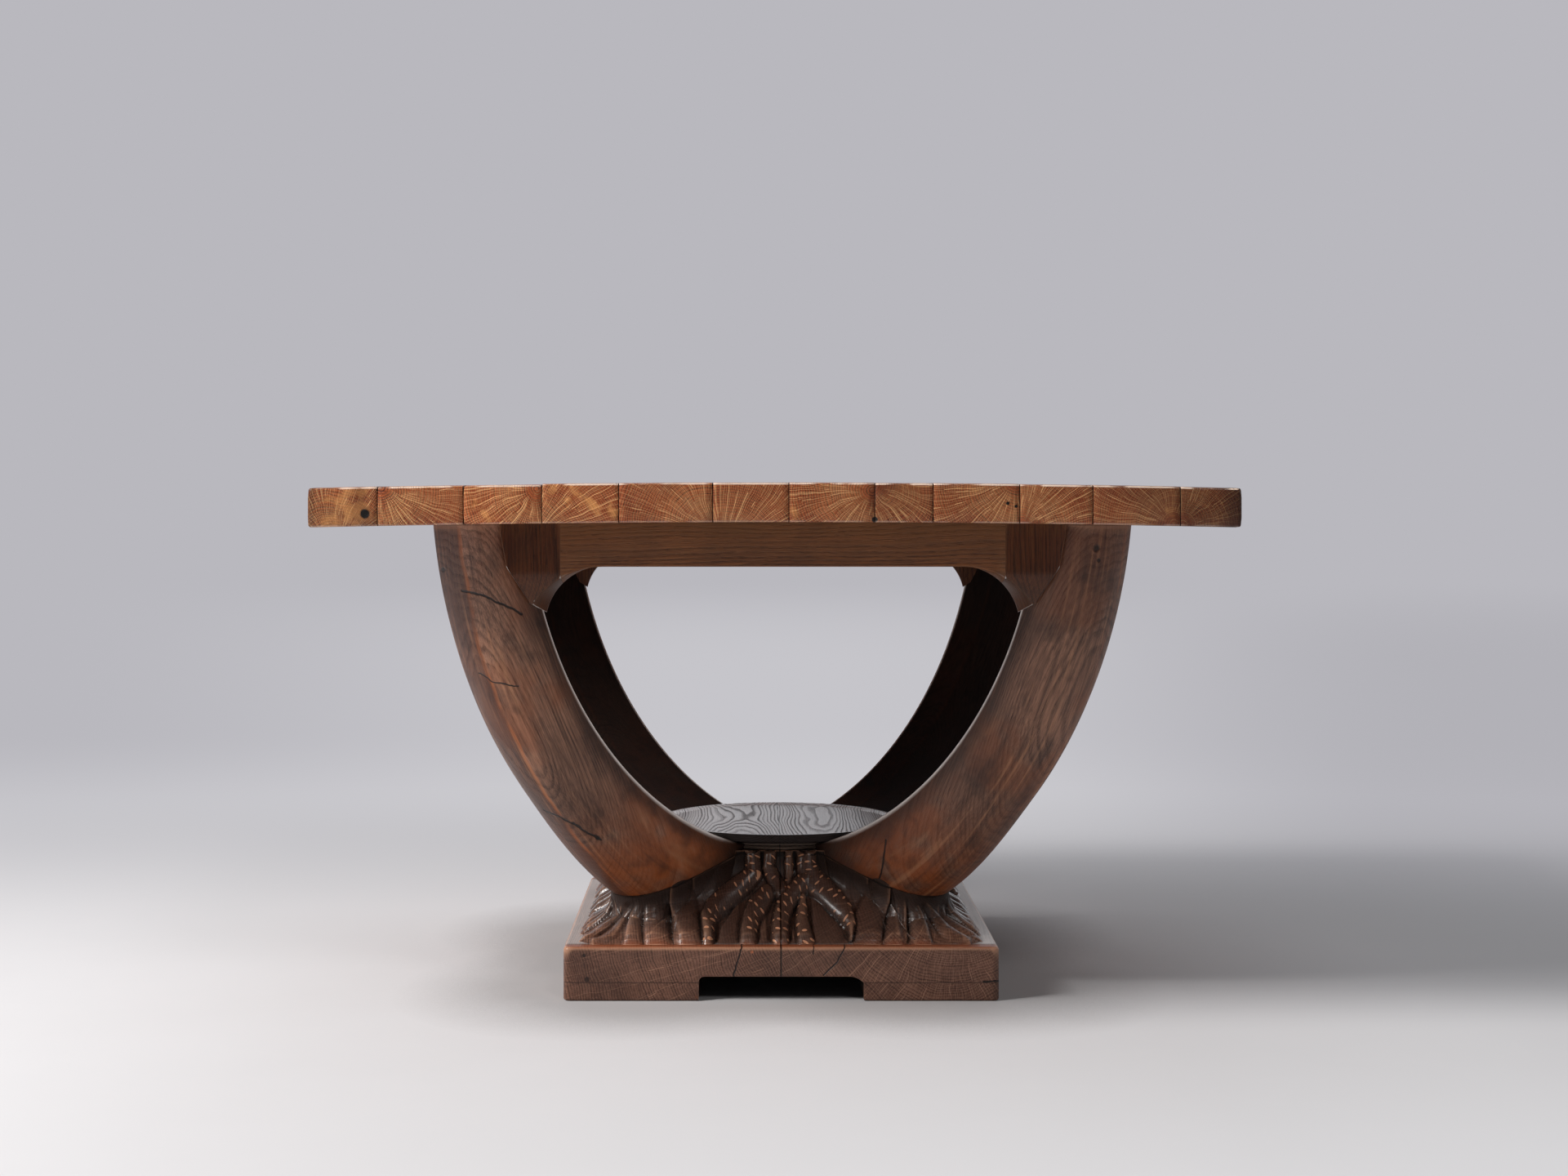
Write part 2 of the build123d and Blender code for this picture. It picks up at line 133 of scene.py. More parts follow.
class Finish:
    """A finish that is put together from shader nodes, for a material or for the backdrop."""

    def __init__(self, owner):
        owner.use_nodes = True
        self.owner = owner
        self.nodes = owner.node_tree.nodes
        self.links = owner.node_tree.links
        self.nodes.clear()

    def node(self, kind, settings=None, sockets=None, output=0):
        made = self.nodes.new(kind)
        for name, value in (settings or {}).items():
            if name == "stops":
                for _ in value[2:]:
                    made.color_ramp.elements.new(0.5)
                for stop, (position, shade) in zip(made.color_ramp.elements, value):
                    stop.position = position
                    stop.color = (shade, shade, shade, 1)
            else:
                setattr(made, name, value)
        for name, value in (sockets or {}).items():
            if isinstance(value, Wire):
                self.links.new(value.socket, made.inputs[name])
            else:
                made.inputs[name].default_value = value
        return Wire(self, made.outputs[output]) if len(made.outputs) else None

    def maths(self, operation, *terms):
        return self.node("ShaderNodeMath", {"operation": operation}, dict(enumerate(terms)))

    def vectors(self, operation, first, second):
        return self.node("ShaderNodeVectorMath", {"operation": operation}, {0: first, 1: second})

    def stretch(self, vector, factors):
        return self.vectors("MULTIPLY", vector, factors)

    def reach(self, across, up):
        """How long a line is that runs so far across and so far up."""
        return self.maths("SQRT", across**2 + up**2)

    def mix(self, share, first, second, blend="MIX"):
        settings = {"data_type": "RGBA", "blend_type": blend, "clamp_factor": True}
        return self.node("ShaderNodeMix", settings, {0: share, 6: first, 7: second}, output=2)

    def coats(self, colour, *layers):
        """Lay colours over a colour one after the other, each with its share."""
        for share, shade in layers:
            colour = self.mix(share, colour, paint(*shade))
        return colour

    def cloud(self, place, scale, detail, output=0):
        """Soft noise over a place: a share, or three shares as a colour with output 1."""
        sockets = {"Vector": place, "Scale": scale, "Detail": detail}
        return self.node("ShaderNodeTexNoise", None, sockets, output)

    def chance(self, number):
        """A share drawn afresh for each whole number."""
        return self.node("ShaderNodeTexWhiteNoise", {"noise_dimensions": "1D"}, {"W": number})

    def own(self, name, output=2):
        """A number that each point of a piece carries, or three numbers with output 1."""
        return self.node("ShaderNodeAttribute", {"attribute_name": name}, output=output)

    def parts(self, vector):
        """The three numbers of a vector."""
        split = self.node("ShaderNodeSeparateXYZ", None, {0: vector})
        return [Wire(self, socket) for socket in split.socket.node.outputs]

    def join(self, first, second, third):
        return self.node("ShaderNodeCombineXYZ", None, {0: first, 1: second, 2: third})


def seen_directly(finish):
    """1 for what the camera shows, and 0 for light that falls on the object."""
    return finish.node("ShaderNodeLightPath")


backdrop = paint(185, 184, 190)
air = Finish(bpy.data.worlds.new("room"))
bpy.context.scene.world = air.owner
_, behind, upward = air.parts(air.node("ShaderNodeTexCoord", output=0))
wall_share = behind.step(0.15, 0.75) * upward.fall(0.3, 0.7)
around = air.mix(wall_share, (0.055, 0.056, 0.058, 1), (0.62, 0.63, 0.66, 1))
soft_light = air.node("ShaderNodeBackground", None, {"Color": around, "Strength": 1})
grey_wall = air.node("ShaderNodeBackground", None, {"Color": backdrop, "Strength": 1})
shown = air.node("ShaderNodeMixShader", None, {0: seen_directly(air), 1: soft_light, 2: grey_wall})
air.node("ShaderNodeOutputWorld", None, {"Surface": shown})

floor_size = 60
base_floor = Finish(bpy.data.materials.new("studio_floor"))
ground = base_floor.node("ShaderNodeTexCoord", output=3)
ground_x, ground_y, _ = base_floor.parts(ground)
away = base_floor.maths("SQRT", ground_x * ground_x * 0.35 + (ground_y + 0.75) ** 2)
grit = base_floor.cloud(ground, 9, 3)
# The floor is painted lighter near the table and greyer further off: painted light falling off with
# distance.
pale = base_floor.mix(away.step(0.5, 3.4), paint(231, 230, 232), paint(190, 189, 194))
# A painted lighter patch on the floor towards the front right.
painted_light_front_right = ground_x.step(-0.5, 0.9) * (0 - ground_y).step(0.5, 1.3)
# Painted shade on the floor close to the table and base, darker where more of the sky is hidden.
painted_contact_shade = base_floor.node("ShaderNodeAmbientOcclusion", {"samples": 16}, {"Distance": 0.34}, 1)
pale = base_floor.coats(
    pale,
    (grit * 0.12, (214, 213, 216)),
    (painted_light_front_right * 0.7, (246, 246, 249)),
    (painted_contact_shade.step(1.0, 0.77) * 0.5, (118, 114, 112)),
)
# Far off, the floor glows for the camera as a painted backdrop: a painted lighter band straight behind the
# table, and painted shade towards the sides.
bearing = ground_x / base_floor.maths("MAXIMUM", ground_y + 4.0, 3.0)
glow = abs(bearing).fall(0.02, 0.3) * 0.85
nearness = ground_y.fall(6.0, 16.0) * ground_y.step(0.5, 2.5)
near_wall = base_floor.mix(bearing.step(0.08, 0.26), paint(208, 207, 211), paint(182, 181, 187))
far_wall = base_floor.coats(
    backdrop,
    (glow * nearness, (200, 199, 204)),
    (bearing.step(0.1, 0.3) * nearness, (178, 177, 183)),
)
far_wall = base_floor.mix(away.fall(1.4, 4.5), far_wall, near_wall)
matt = base_floor.node("ShaderNodeBsdfDiffuse", None, {"Color": pale})
lit_wall = base_floor.node("ShaderNodeEmission", None, {"Color": far_wall, "Strength": 1})
far_share = away.step(1.1, 3.0) * seen_directly(base_floor)
floor_skin = base_floor.node("ShaderNodeMixShader", None, {0: far_share, 1: matt, 2: lit_wall})
base_floor.node("ShaderNodeOutputMaterial", None, {"Surface": floor_skin})
floor_mesh = bpy.data.meshes.new("floor")
floor_bm = bmesh.new()
bmesh.ops.create_grid(floor_bm, x_segments=2, y_segments=2, size=floor_size / 2)
floor_bm.to_mesh(floor_mesh)
floor_bm.free()
floor_mesh.materials.append(base_floor.owner)
floor = bpy.data.objects.new("floor", floor_mesh)
bpy.context.scene.collection.objects.link(floor)


# ---- Plank top ----------------------------------------------------------------------------
# Twelve oak boards, joined edge to edge, with their end grain at the front and back. Each has
# moved a little, and its arrises are rounded by wear. Rays fan over the ends from the pith.

# For each board: where the pith lay, across and above the middle of its end (mm), how bleached
# its ends are, how far its face has sunk (mm), and how bright it is: its own tone together with
# painted light and shade, which grow darker from the left-hand boards to the right-hand ones.
boards = (
    ((-10, -60), 1.0, 0.5, 0.98),
    ((-55, 18), 0.35, 0.8, 1.1),
    ((50, 22), 0.5, 1.1, 1.32),
    ((-70, -60), 0.75, 0.2, 1.18),
    ((60, -36), 0.3, 0.0, 1.04),
    ((-40, -70), 0.15, 0.2, 0.98),
    ((52, 20), 0.25, 0.0, 1.0),
    ((-40, 20), 0.2, 0.3, 0.94),
    ((50, 20), 0.35, 0.1, 0.92),
    ((-45, -32), 0.1, 0.4, 0.9),
    ((53, -30), 0.3, 0.2, 0.8),
    ((-38, -32), 0.0, 0.5, 0.6),
)
board_names = [f"top_board_{number:02d}" for number in range(1, 13)]
board_boxes = [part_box(name) for name in board_names]
top_length = max(high.x for _, high in board_boxes) - min(low.x for low, _ in board_boxes)
top_level = max(high.z for _, high in board_boxes)
board_thickness = 54 * MM
top_crown = 7 * MM
arris = 4 * MM
corner_round = 6 * MM
joint_ease = 0.7 * MM


def new_finish(name):
    """A finish, with the place of a point on the piece in metres, and its parts in millimetres."""
    finish = Finish(bpy.data.materials.new(name))
    spot = finish.node("ShaderNodeTexCoord", output=3)
    return finish, spot, finish.parts(finish.stretch(spot, (1000, 1000, 1000)))


def spokes(finish, turn, radius, along, count, width, share):
    """Medullary rays: thin lines out from the pith, each broken in its own places."""
    sector = turn * count
    number = finish.maths("FLOOR", sector)
    luck = finish.chance(number)
    place = luck * 0.7 + 0.15
    off = abs(finish.maths("FRACT", sector) - place) * radius / count
    line = off.fall(width * 0.4, width) * (radius / count).step(width * 1.2, width * 4)
    broken = finish.cloud(finish.join(number * 3.7, radius * 0.028, along * 0.05), 1, 1)
    return line * broken.step(0.62 - share * 0.3, 0.66 - share * 0.3) * (luck * 0.6 + 0.4)


def oak(finish, dark, plain, pale, ray_colour, ring, ray, pore=0.6, open_grain=0.5, thick=0.8, log=None):
    """Colour, height and early wood of oak, from the point's place in the log (mm, Z along the fibres)."""
    dark, plain, pale, ray_colour = [paint(*shade) for shade in (dark, plain, pale, ray_colour)]
    log = log or finish.own("log", 1)
    middle = (0.5, 0.5, 0.5)
    slow = finish.cloud(finish.stretch(log, (0.006, 0.006, 0.0018)), 1, 2, 1)
    quick = finish.cloud(finish.stretch(log, (0.03, 0.03, 0.005)), 1, 2, 1)
    sway = finish.stretch(finish.vectors("SUBTRACT", slow, middle), (40, 40, 0))
    ripple = finish.stretch(finish.vectors("SUBTRACT", quick, middle), (8, 8, 0))
    grown = finish.vectors("ADD", log, finish.vectors("ADD", sway, ripple))
    across, up, along = finish.parts(grown)
    radius = finish.maths("SQRT", across * across + up * up)
    turn = finish.maths("ARCTAN2", up, across)
    growth = radius / ring + finish.cloud(finish.join(radius * 0.03, 0.0, 0.0), 1, 1) * 2.5
    year = finish.chance(finish.maths("FLOOR", growth))
    stops = ((0, 1), (0.2, 0.8), (0.42, 0.12), (0.86, 0.0), (1, 1))
    early = finish.node("ShaderNodeValToRGB", {"stops": stops}, {0: finish.maths("FRACT", growth)})
    early = early * (year * 0.75 + 0.35)
    fibre = finish.cloud(finish.stretch(grown, (1.1, 1.1, 0.022)), 1, 3)
    strand = finish.cloud(finish.stretch(grown, (0.3, 0.3, 0.008)), 1, 2)
    pores = finish.cloud(finish.stretch(grown, (1.5, 1.5, 0.07)), 1, 1)
    pits = pores.step(0.54, 0.64) * (early * 0.75 + 0.25)
    fine = spokes(finish, turn, radius, along, 37, thick * 0.55, 0.9)
    coarse = spokes(finish, turn, radius, along, 13, thick, 0.5)
    rays = finish.maths("MAXIMUM", fine * 0.7, coarse)
    patch = finish.cloud(finish.stretch(log, (0.02, 0.02, 0.005)), 1, 3)
    body = finish.mix((fibre * 0.4 + strand * 0.3 + patch * 0.3).step(0.38, 0.62), plain, pale)
    body = finish.mix(early * open_grain, body, dark)
    body = finish.mix(pits * pore, body, dark)
    colour = finish.mix(rays * ray, body, ray_colour)
    height = fibre * 0.3 - early * 0.5 - pits * 1.2 + rays * 0.3
    return {"colour": colour, "height": height, "early": early, "pits": pits}


def polish(finish, colour, height, roughness, relief, coat, coat_roughness=0.2, specular=0.22):
    """The surface itself: waxed wood with its pores as a fine relief."""
    grain = {"Strength": 1.0, "Distance": relief, "Height": height}
    skin = {"Base Color": colour, "Roughness": roughness, "Coat Weight": coat}
    skin["Coat Roughness"] = coat_roughness
    skin["Specular IOR Level"] = specular
    skin["Normal"] = finish.node("ShaderNodeBump", None, grain)
    surface = finish.node("ShaderNodeBsdfPrincipled", None, skin)
    finish.node("ShaderNodeOutputMaterial", None, {"Surface": surface})
    return finish.owner


def block(centre, size):
    bm = bmesh.new()
    bmesh.ops.create_cube(bm, size=1, matrix=Matrix.Translation(centre) @ Matrix.Diagonal((*size, 1)))
    return bm


def round_edges(bm, edges, offset, segments):
    bmesh.ops.bevel(bm, geom=edges, offset=offset, segments=segments, profile=0.5, affect="EDGES",
                    material=-1)


def cut_even(bm, low, high, counts):
    """Loop cuts across each axis, evenly spaced between two corners."""
    for axis, count in enumerate(counts):
        direction = Vector([1 if index == axis else 0 for index in range(3)])
        for number in range(1, count):
            level = low[axis] + (high[axis] - low[axis]) * number / count
            parts = bm.verts[:] + bm.edges[:] + bm.faces[:]
            bmesh.ops.bisect_plane(bm, geom=parts, plane_co=direction * level, plane_no=direction)


def as_mesh(bm, name):
    """The finished mesh, and its points in millimetres."""
    mesh = bpy.data.meshes.new(name)
    bm.to_mesh(mesh)
    bm.free()
    flat = np.empty(len(mesh.vertices) * 3)
    mesh.vertices.foreach_get("co", flat)
    return mesh, flat.reshape(-1, 3) / MM


def carry(mesh, name, values):
    """Give each point of a mesh a number, or three."""
    values = np.asarray(values, np.float32)
    kind = "FLOAT" if values.ndim == 1 else "FLOAT_VECTOR"
    attribute = mesh.attributes.new(name, kind, "POINT")
    attribute.data.foreach_set("value" if values.ndim == 1 else "vector", values.ravel())


def set_piece(name, mesh, material, slot, *nodes, smooth=40):
    """Put a finished mesh in the scene for the nodes that it stands for."""
    mesh.materials.append(material)
    mesh.shade_smooth()
    mesh.set_sharp_from_angle(angle=math.radians(smooth))
    piece = bpy.data.objects.new(name, mesh)
    bpy.context.scene.collection.objects.link(piece)
    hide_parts(*nodes)
    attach(piece, "root")


def make_top_finish():
    """Oiled oak, bleached in patches on the ends, with pale arrises that are worn and carry a painted
    highlight, painted shade at both ends and on the right-hand boards, dark joints and a few knots.
    """
    finish, spot, (x, y, z) = new_finish("top_oak")
    on_end = abs(y).step(600, 622)
    on_front = (0 - y).step(600, 622)
    wood = oak(finish, (52, 17, 6), (138, 66, 33), (184, 102, 60), (255, 204, 142), ring=3.4,
               ray=on_end * 0.63 + 0.22, pore=0.85, open_grain=on_end * 0.3 + 0.6, thick=0.58)
    worn = finish.own("worn")
    bleach = finish.own("bleach")
    tone = finish.own("tone")
    blotch = finish.cloud(spot, 17, 4)
    stain = finish.cloud(spot, 6, 3)
    fleck = finish.cloud(spot, 60, 3)
    edge = (blotch * 0.55 + bleach * 0.16 + fleck * 0.3).step(0.56, 0.63)
    bare = edge * bleach.step(0.05, 0.4) * (fleck * 1.1 + 0.1) * (on_end * 0.85 + 0.15)
    arcs = wood["early"].step(0.5, 0.85) * fleck.step(0.35, 0.55) * on_end
    colour = finish.coats(
        wood["colour"],
        (stain.step(0.5, 0.72) * 0.6, (92, 44, 20)),
        (bare * 0.7, (226, 160, 96)),
        (arcs * 0.42, (232, 164, 104)),
    )
    # Each board's brightness: its own tone, and painted shade that darkens the boards towards the right.
    dim = finish.join(tone, tone * 0.97, tone * 0.92)
    colour = finish.mix(1.0, colour, dim, "MULTIPLY")
    shaded = abs(x + 546).step(34, 0) * blotch.step(0.42, 0.5)
    # Painted shade at both ends of the top, where the rounded corners turn away from the light.
    rims = finish.maths("MAXIMUM", x.step(588, 618), (0 - x).step(612, 624) * 0.8)
    colour = finish.coats(
        colour,
        (shaded * on_end * 0.55, (96, 48, 20)),
        (rims * 0.7, (46, 22, 10)),
    )
    for knot_x, knot_z, size in ((-549, 718, 5.5), (134, 710, 3), (312, 732, 1.6), (323, 728, 1.4)):
        ragged = finish.reach(x - knot_x, z - knot_z) + fleck * 4 - 2
        colour = finish.coats(colour, (ragged.fall(size, size * 1.5) * on_front, (12, 5, 2)))
    # Pale arrises: wear, and a painted highlight that is strongest along the upper arrises.
    above = z.step(735, 750)
    joint = finish.own("by_joint").fall(0.35, 1.1)
    colour = finish.coats(
        colour,
        (worn.step(0.1, 0.5) * (above * 0.9 + 0.3) * (fleck + 0.55), (255, 226, 204)),
        (joint * 0.8, (24, 10, 5)),
    )
    rough = 0.4 + blotch * 0.14 - worn * 0.1
    return polish(finish, colour, wood["height"] + blotch * 0.6 - bare * 0.5, rough, 0.0006, 0.3)


def top_drop(x):
    """How far the crown of the top falls at a place across it."""
    return top_crown * (2 * x / top_length) ** 2


def make_board(index, name, pith, bleach, sunk, tone):
    low, high = board_boxes[index]
    middle = top_level - board_thickness / 2
    centre = ((low.x + high.x) / 2, (low.y + high.y) / 2, middle)
    bm = block(centre, (high.x - low.x, high.y - low.y, board_thickness))
    outer = [x for x, last in ((low.x, index == 0), (high.x, index == len(boards) - 1)) if last]
    joints = [x for x in (low.x, high.x) if x not in outer]

    def climb(edge):
        return abs(edge.verts[0].co.z - edge.verts[1].co.z)

    def on_joint(edge):
        return any(all(abs(vert.co.x - x) < MM / 10 for vert in edge.verts) for x in joints)

    upright = [edge for edge in bm.edges if climb(edge) > board_thickness / 2]
    corners = [edge for edge in upright if any(abs(edge.verts[0].co.x - x) < MM for x in outer)]
    if corners:
        round_edges(bm, corners, corner_round, 6)
    round_edges(bm, [edge for edge in bm.edges if climb(edge) < MM / 10 and not on_joint(edge)], arris, 4)
    eased = [edge for edge in bm.edges if on_joint(edge) and edge.calc_face_angle(0) > 0.5]
    round_edges(bm, eased, joint_ease, 1)
    under = Vector((low.x, low.y, middle - board_thickness / 2))
    cut_even(bm, under, Vector((high.x, high.y, middle + board_thickness / 2)), (12, 42, 4))
    bm.normal_update()
    for vert in bm.verts:
        rim_y = min(vert.co.y - low.y, high.y - vert.co.y)
        rim_z = board_thickness / 2 - abs(vert.co.z - middle)
        if rim_y < 1.6 * arris and rim_z < 1.6 * arris:
            chip = max(0, noise.noise(vert.co * 38 + Vector((0, 0, index)))) + 0.3
            vert.co -= vert.normal * chip * 1.7 * MM
        vert.co.z -= top_drop(vert.co.x)
        if vert.co.z > middle:
            vert.co.z -= sunk * MM
    bmesh.ops.recalc_face_normals(bm, faces=bm.faces)
    mesh, spots = as_mesh(bm, name)
    heart = np.array((centre[0] / MM + pith[0], centre[2] / MM + pith[1], 900 * index))
    carry(mesh, "log", spots[:, (0, 2, 1)] - heart)
    carry(mesh, "bleach", np.full(len(spots), bleach))
    carry(mesh, "tone", np.full(len(spots), tone))
    carry(mesh, "by_joint", np.min([np.abs(spots[:, 0] - x / MM) for x in joints], axis=0))
    by_end = np.minimum(spots[:, 1] - low.y / MM, high.y / MM - spots[:, 1])
    for x in outer:
        by_end = np.minimum(by_end, np.abs(spots[:, 0] - x / MM))
    lift = (spots[:, 2] * MM + top_drop(spots[:, 0] * MM) - middle) / MM
    by_face = board_thickness / MM / 2 - np.abs(lift) - np.where(lift > 0, sunk, 0)
    # How proud each point is near the arrises, for wear and for the painted highlight.
    carry(mesh, "worn", np.clip(2 - (by_end + np.maximum(by_face, 0)) / 2, 0, 1))
    set_piece(f"oak_board_{index + 1:02d}", mesh, top_oak, "top_oak", name, smooth=50)


top_oak = make_top_finish()
for index, (name, traits) in enumerate(zip(board_names, boards)):
    make_board(index, name, *traits)


# ---- Legs ---------------------------------------------------------------------------------
# Four solid oak legs like tusks, on the diagonals. Their section is a D with a hollowed flat
# that faces the middle, and it thickens down the arch to a foot, scribed to the carved base.

root_two = math.sqrt(2)
axis_x = 13
axis = np.array((axis_x, 0, 0))
frame_top = 706
arch_centre_r = 5
arch_centre_z = 782
arch_half_width = 580
arch_half_height = 594
leg_half_width = 75
leg_hollow = 5
leg_arris = 4
leg_depth_top = 85
leg_depth_foot = 141
leg_swell = 1.83
leg_flare = 11
leg_fullness = 0.7
seam_r = 330
seam_z = 143
seam_slope = math.tan(math.radians(17))
hub_r = 150
leg_turns = {"back_right": 45, "back_left": 135, "front_left": 225, "front_right": 315}
leg_steps = 100
arc_steps = 16
side_steps = 26
first_slope = -2
last_slope = 84


def compass(turn):
    return Vector((math.cos(math.radians(turn)), math.sin(math.radians(turn)), 0))


def leg_outline(slope):
    """Points around a leg's section at a slope of the arch: across it, and out from its hollow side."""
    share = max(0, (slope - 2) / 78)
    back = leg_depth_top + (leg_depth_foot - leg_depth_top) * share**leg_swell
    flare = min(1, max(0, (slope - 44) / 18))
    back += leg_flare * flare * flare * (3 - 2 * flare)
    points = []
    for step in range(arc_steps):
        x = leg_half_width * (2 * step / arc_steps - 1)
        points.append((x, leg_hollow * (1 - (x / leg_half_width) ** 2)))
    half = []
    for step in range(side_steps):
        t = step / side_steps
        x = leg_half_width * ((1 - t) ** 3 + 3 * t * (1 - t) ** 2 + 3 * t * t * (1 - t) * leg_fullness)
        y = back * (3 * t * (1 - t) ** 2 * leg_fullness + 3 * t * t * (1 - t) + t**3)
        half.append((x, y))
    return points + half + [(0, back)] + [(-x, y) for x, y in reversed(half[1:])]


def leg_point(turn, slope, x, y):
    """Place in millimetres of a point of a leg's section."""
    cos = math.cos(math.radians(slope))
    sin = math.sin(math.radians(slope))
    outward = compass(turn)
    through = outward * (cos / arch_half_width) - Vector((0, 0, sin / arch_half_height))
    through.normalize()
    heart = outward * (arch_centre_r + arch_half_width * cos)
    heart.z = arch_centre_z - arch_half_height * sin
    return Vector((axis_x, 0, 0)) + heart + compass(turn + 90) * x + through * y


def near_line(finish, x, z, points, width):
    """Mask of a thin line through points of the upright plane (mm)."""
    nearest = None
    for (ax, az), (bx, bz) in zip(points, points[1:]):
        dx = bx - ax
        dz = bz - az
        along = (x - ax) * dx + (z - az) * dz
        share = finish.node("ShaderNodeClamp", None, {0: along / (dx * dx + dz * dz)})
        off_x = x - ax - share * dx
        off_z = z - az - share * dz
        away = finish.maths("SQRT", off_x * off_x + off_z * off_z)
        nearest = away if nearest is None else finish.maths("MINIMUM", nearest, away)
    return nearest.fall(width * 0.35, width)


def from_axis(x, y):
    """How far a point lies from the axis along the nearest diagonal."""
    return (abs(x - axis_x) + abs(y)) / root_two


def on_seam(x, y, z):
    """Thin dark line where a leg meets the base."""
    return abs(z - seam_z - (seam_r - from_axis(x, y)) * seam_slope).fall(0.5, 1.7)


def uncrowned(x, z):
    """Height of a point (mm) as it would be under a top without a crown."""
    return z + x * x * (4 * top_crown * MM / top_length**2)


def make_leg_finish(name, streak, checks=(), blemishes=()):
    """Brown waxed oak, rubbed paler along the back, with the drying checks of one leg; painted shade near
    its top, along one side, on its hollow face, by its inner arrises, at its foot and under the boards, and
    a painted highlight along its inner arrises.
    """
    finish, spot, (x, y, z) = new_finish(name)
    wood = oak(finish, (30, 14, 8), (112, 77, 60), (176, 128, 101), (196, 142, 108), ring=3.8, ray=0.3,
               pore=0.75, open_grain=0.55)
    worn = finish.own("worn")
    outer = finish.own("outer")
    along, round_leg, _ = finish.parts(finish.own("leg", 1))
    beside = abs(round_leg)
    blotch = finish.cloud(spot, 7, 4)
    smoke = finish.cloud(spot, 2.6, 3)
    mottle = finish.cloud(spot, 22, 4)
    wobble = finish.cloud(finish.join(along * 6, 0.0, 0.0), 1, 2) * 22
    fibre = finish.cloud(finish.join(along * 3.5, round_leg * 0.16, 0.0), 1, 4)
    patches = finish.cloud(finish.join(along * 14, round_leg * 0.05, 0.0), 1, 3)
    rubbed = abs(round_leg - 10 - wobble).fall(1.2, 5.5) * patches.step(0.3, 0.6)
    inner = outer.fall(-0.2, 0.3) * beside.fall(73.4, 74.5)
    reach = from_axis(x, y)
    above_seam = z - seam_z - (seam_r - reach) * seam_slope
    rim = worn.step(0.12, 0.4) * z.step(208, 232)
    colour = finish.coats(
        wood["colour"],
        (smoke.step(0.45, 0.6) * 0.5, (58, 38, 29)),
        (blotch.step(0.48, 0.62) * 0.5, (138, 76, 40)),
        (along.step(0.75, 1.15) * mottle.step(0.28, 0.58) * 0.8, (160, 82, 32)),
        (mottle.step(0.5, 0.72) * 0.5, (34, 18, 11)),
        # Painted shade over the top of the leg, under the boards.
        (along.fall(0.15, 0.5) * (1 - streak) * 0.4, (40, 32, 29)),
        (rubbed * streak, (190, 108, 56)),
        # Painted shade along the side of the leg beyond the rubbed line.
        ((round_leg - wobble).fall(6, 16) * streak * 0.75, (62, 27, 13)),
        # Painted shade: the hollow face towards the middle is painted nearly black.
        (inner * (1 - blotch * 0.15), (8, 2, 1)),
        (fibre.step(0.5, 0.7) * (1 - inner) * 0.45, (44, 24, 15)),
        (fibre.step(0.46, 0.3) * (1 - inner) * 0.3, (196, 140, 100)),
        # Painted shade at the foot: near the hub under the tray, and just above the seam.
        (reach.fall(150, 245) * 0.8, (30, 14, 7)),
        (above_seam.fall(0, 28) * reach.fall(190, 330) * 0.6, (24, 11, 6)),
        # Painted shade on the sides of the leg next to its hollow face, by the inner arrises.
        (outer.fall(0.0, 1.0) * (1 - inner) * 0.65, (40, 20, 10)),
        # Pale worn arrises, and a painted white highlight along the inner arrises.
        (rim * 0.5, (176, 128, 98)),
        (rim * beside.step(66, 71) * outer.fall(-0.3, 0.2), (255, 250, 245)),
        (finish.own("hollow") * 0.8, (20, 12, 8)),
    )
    height = wood["height"] * 0.6 + blotch * 1.5
    shake = finish.cloud(spot, 60, 2)
    on_front = (0 - y).step(60, 120)
    for points, width in checks:
        crack = near_line(finish, x + shake * 6 - 3, z + shake * 6 - 3, points, width) * on_front
        colour = finish.coats(colour, (crack * 0.92, (14, 8, 5)))
        height = height - crack * 4
    for (knot_x, knot_z), size, shade in blemishes:
        ragged = finish.reach(x - knot_x, z - knot_z) + shake * size
        knot = ragged.fall(size * 0.9, size * 1.5) * on_front
        colour = finish.coats(colour, (knot * 0.85, shade))
        height = height - knot * 2
    seam = on_seam(x, y, z)
    # A dark line at the seam with the base, and painted shadow along the top of the leg under the boards.
    grime_and_top_shadow = finish.maths("MAXIMUM", seam, uncrowned(x, z).step(702.5, 705) * 0.8)
    colour = finish.coats(colour, (grime_and_top_shadow * 0.85, (16, 9, 6)))
    rough = 0.36 + blotch * 0.14 + wood["pits"] * 0.15 + inner * 0.4
    return polish(finish, colour, height - seam * 2, rough, 0.0006, 0.3 - inner * 0.3, 0.28)


def weather(mesh, spots, spread, gain):
    """Mark how proud each point is (where edges wear and highlights are painted) and how sunk (hollow),
    from the shape around it.
    """
    count = len(spots)
    normals = np.empty(count * 3)
    mesh.vertex_normals.foreach_get("vector", normals)
    normals = normals.reshape(-1, 3)
    ends = np.empty(len(mesh.edges) * 2, np.int64)
    mesh.edges.foreach_get("vertices", ends)
    first, second = ends.reshape(-1, 2).T
    both = np.concatenate((first, second))
    others = np.concatenate((second, first))
    ties = np.maximum(np.bincount(both, minlength=count), 1)
    offset = spots[others] - spots[both]
    lean = np.einsum("ij,ij->i", offset, normals[both]) / np.maximum(np.linalg.norm(offset, axis=1), 1e-6)
    bend = np.bincount(both, weights=lean, minlength=count) / ties
    for _ in range(spread):
        bend = 0.5 * bend + 0.5 * np.bincount(both, weights=bend[others], minlength=count) / ties
    carry(mesh, "worn", np.clip(-bend * gain, 0, 1))
    carry(mesh, "hollow", np.clip(bend * gain, 0, 1))


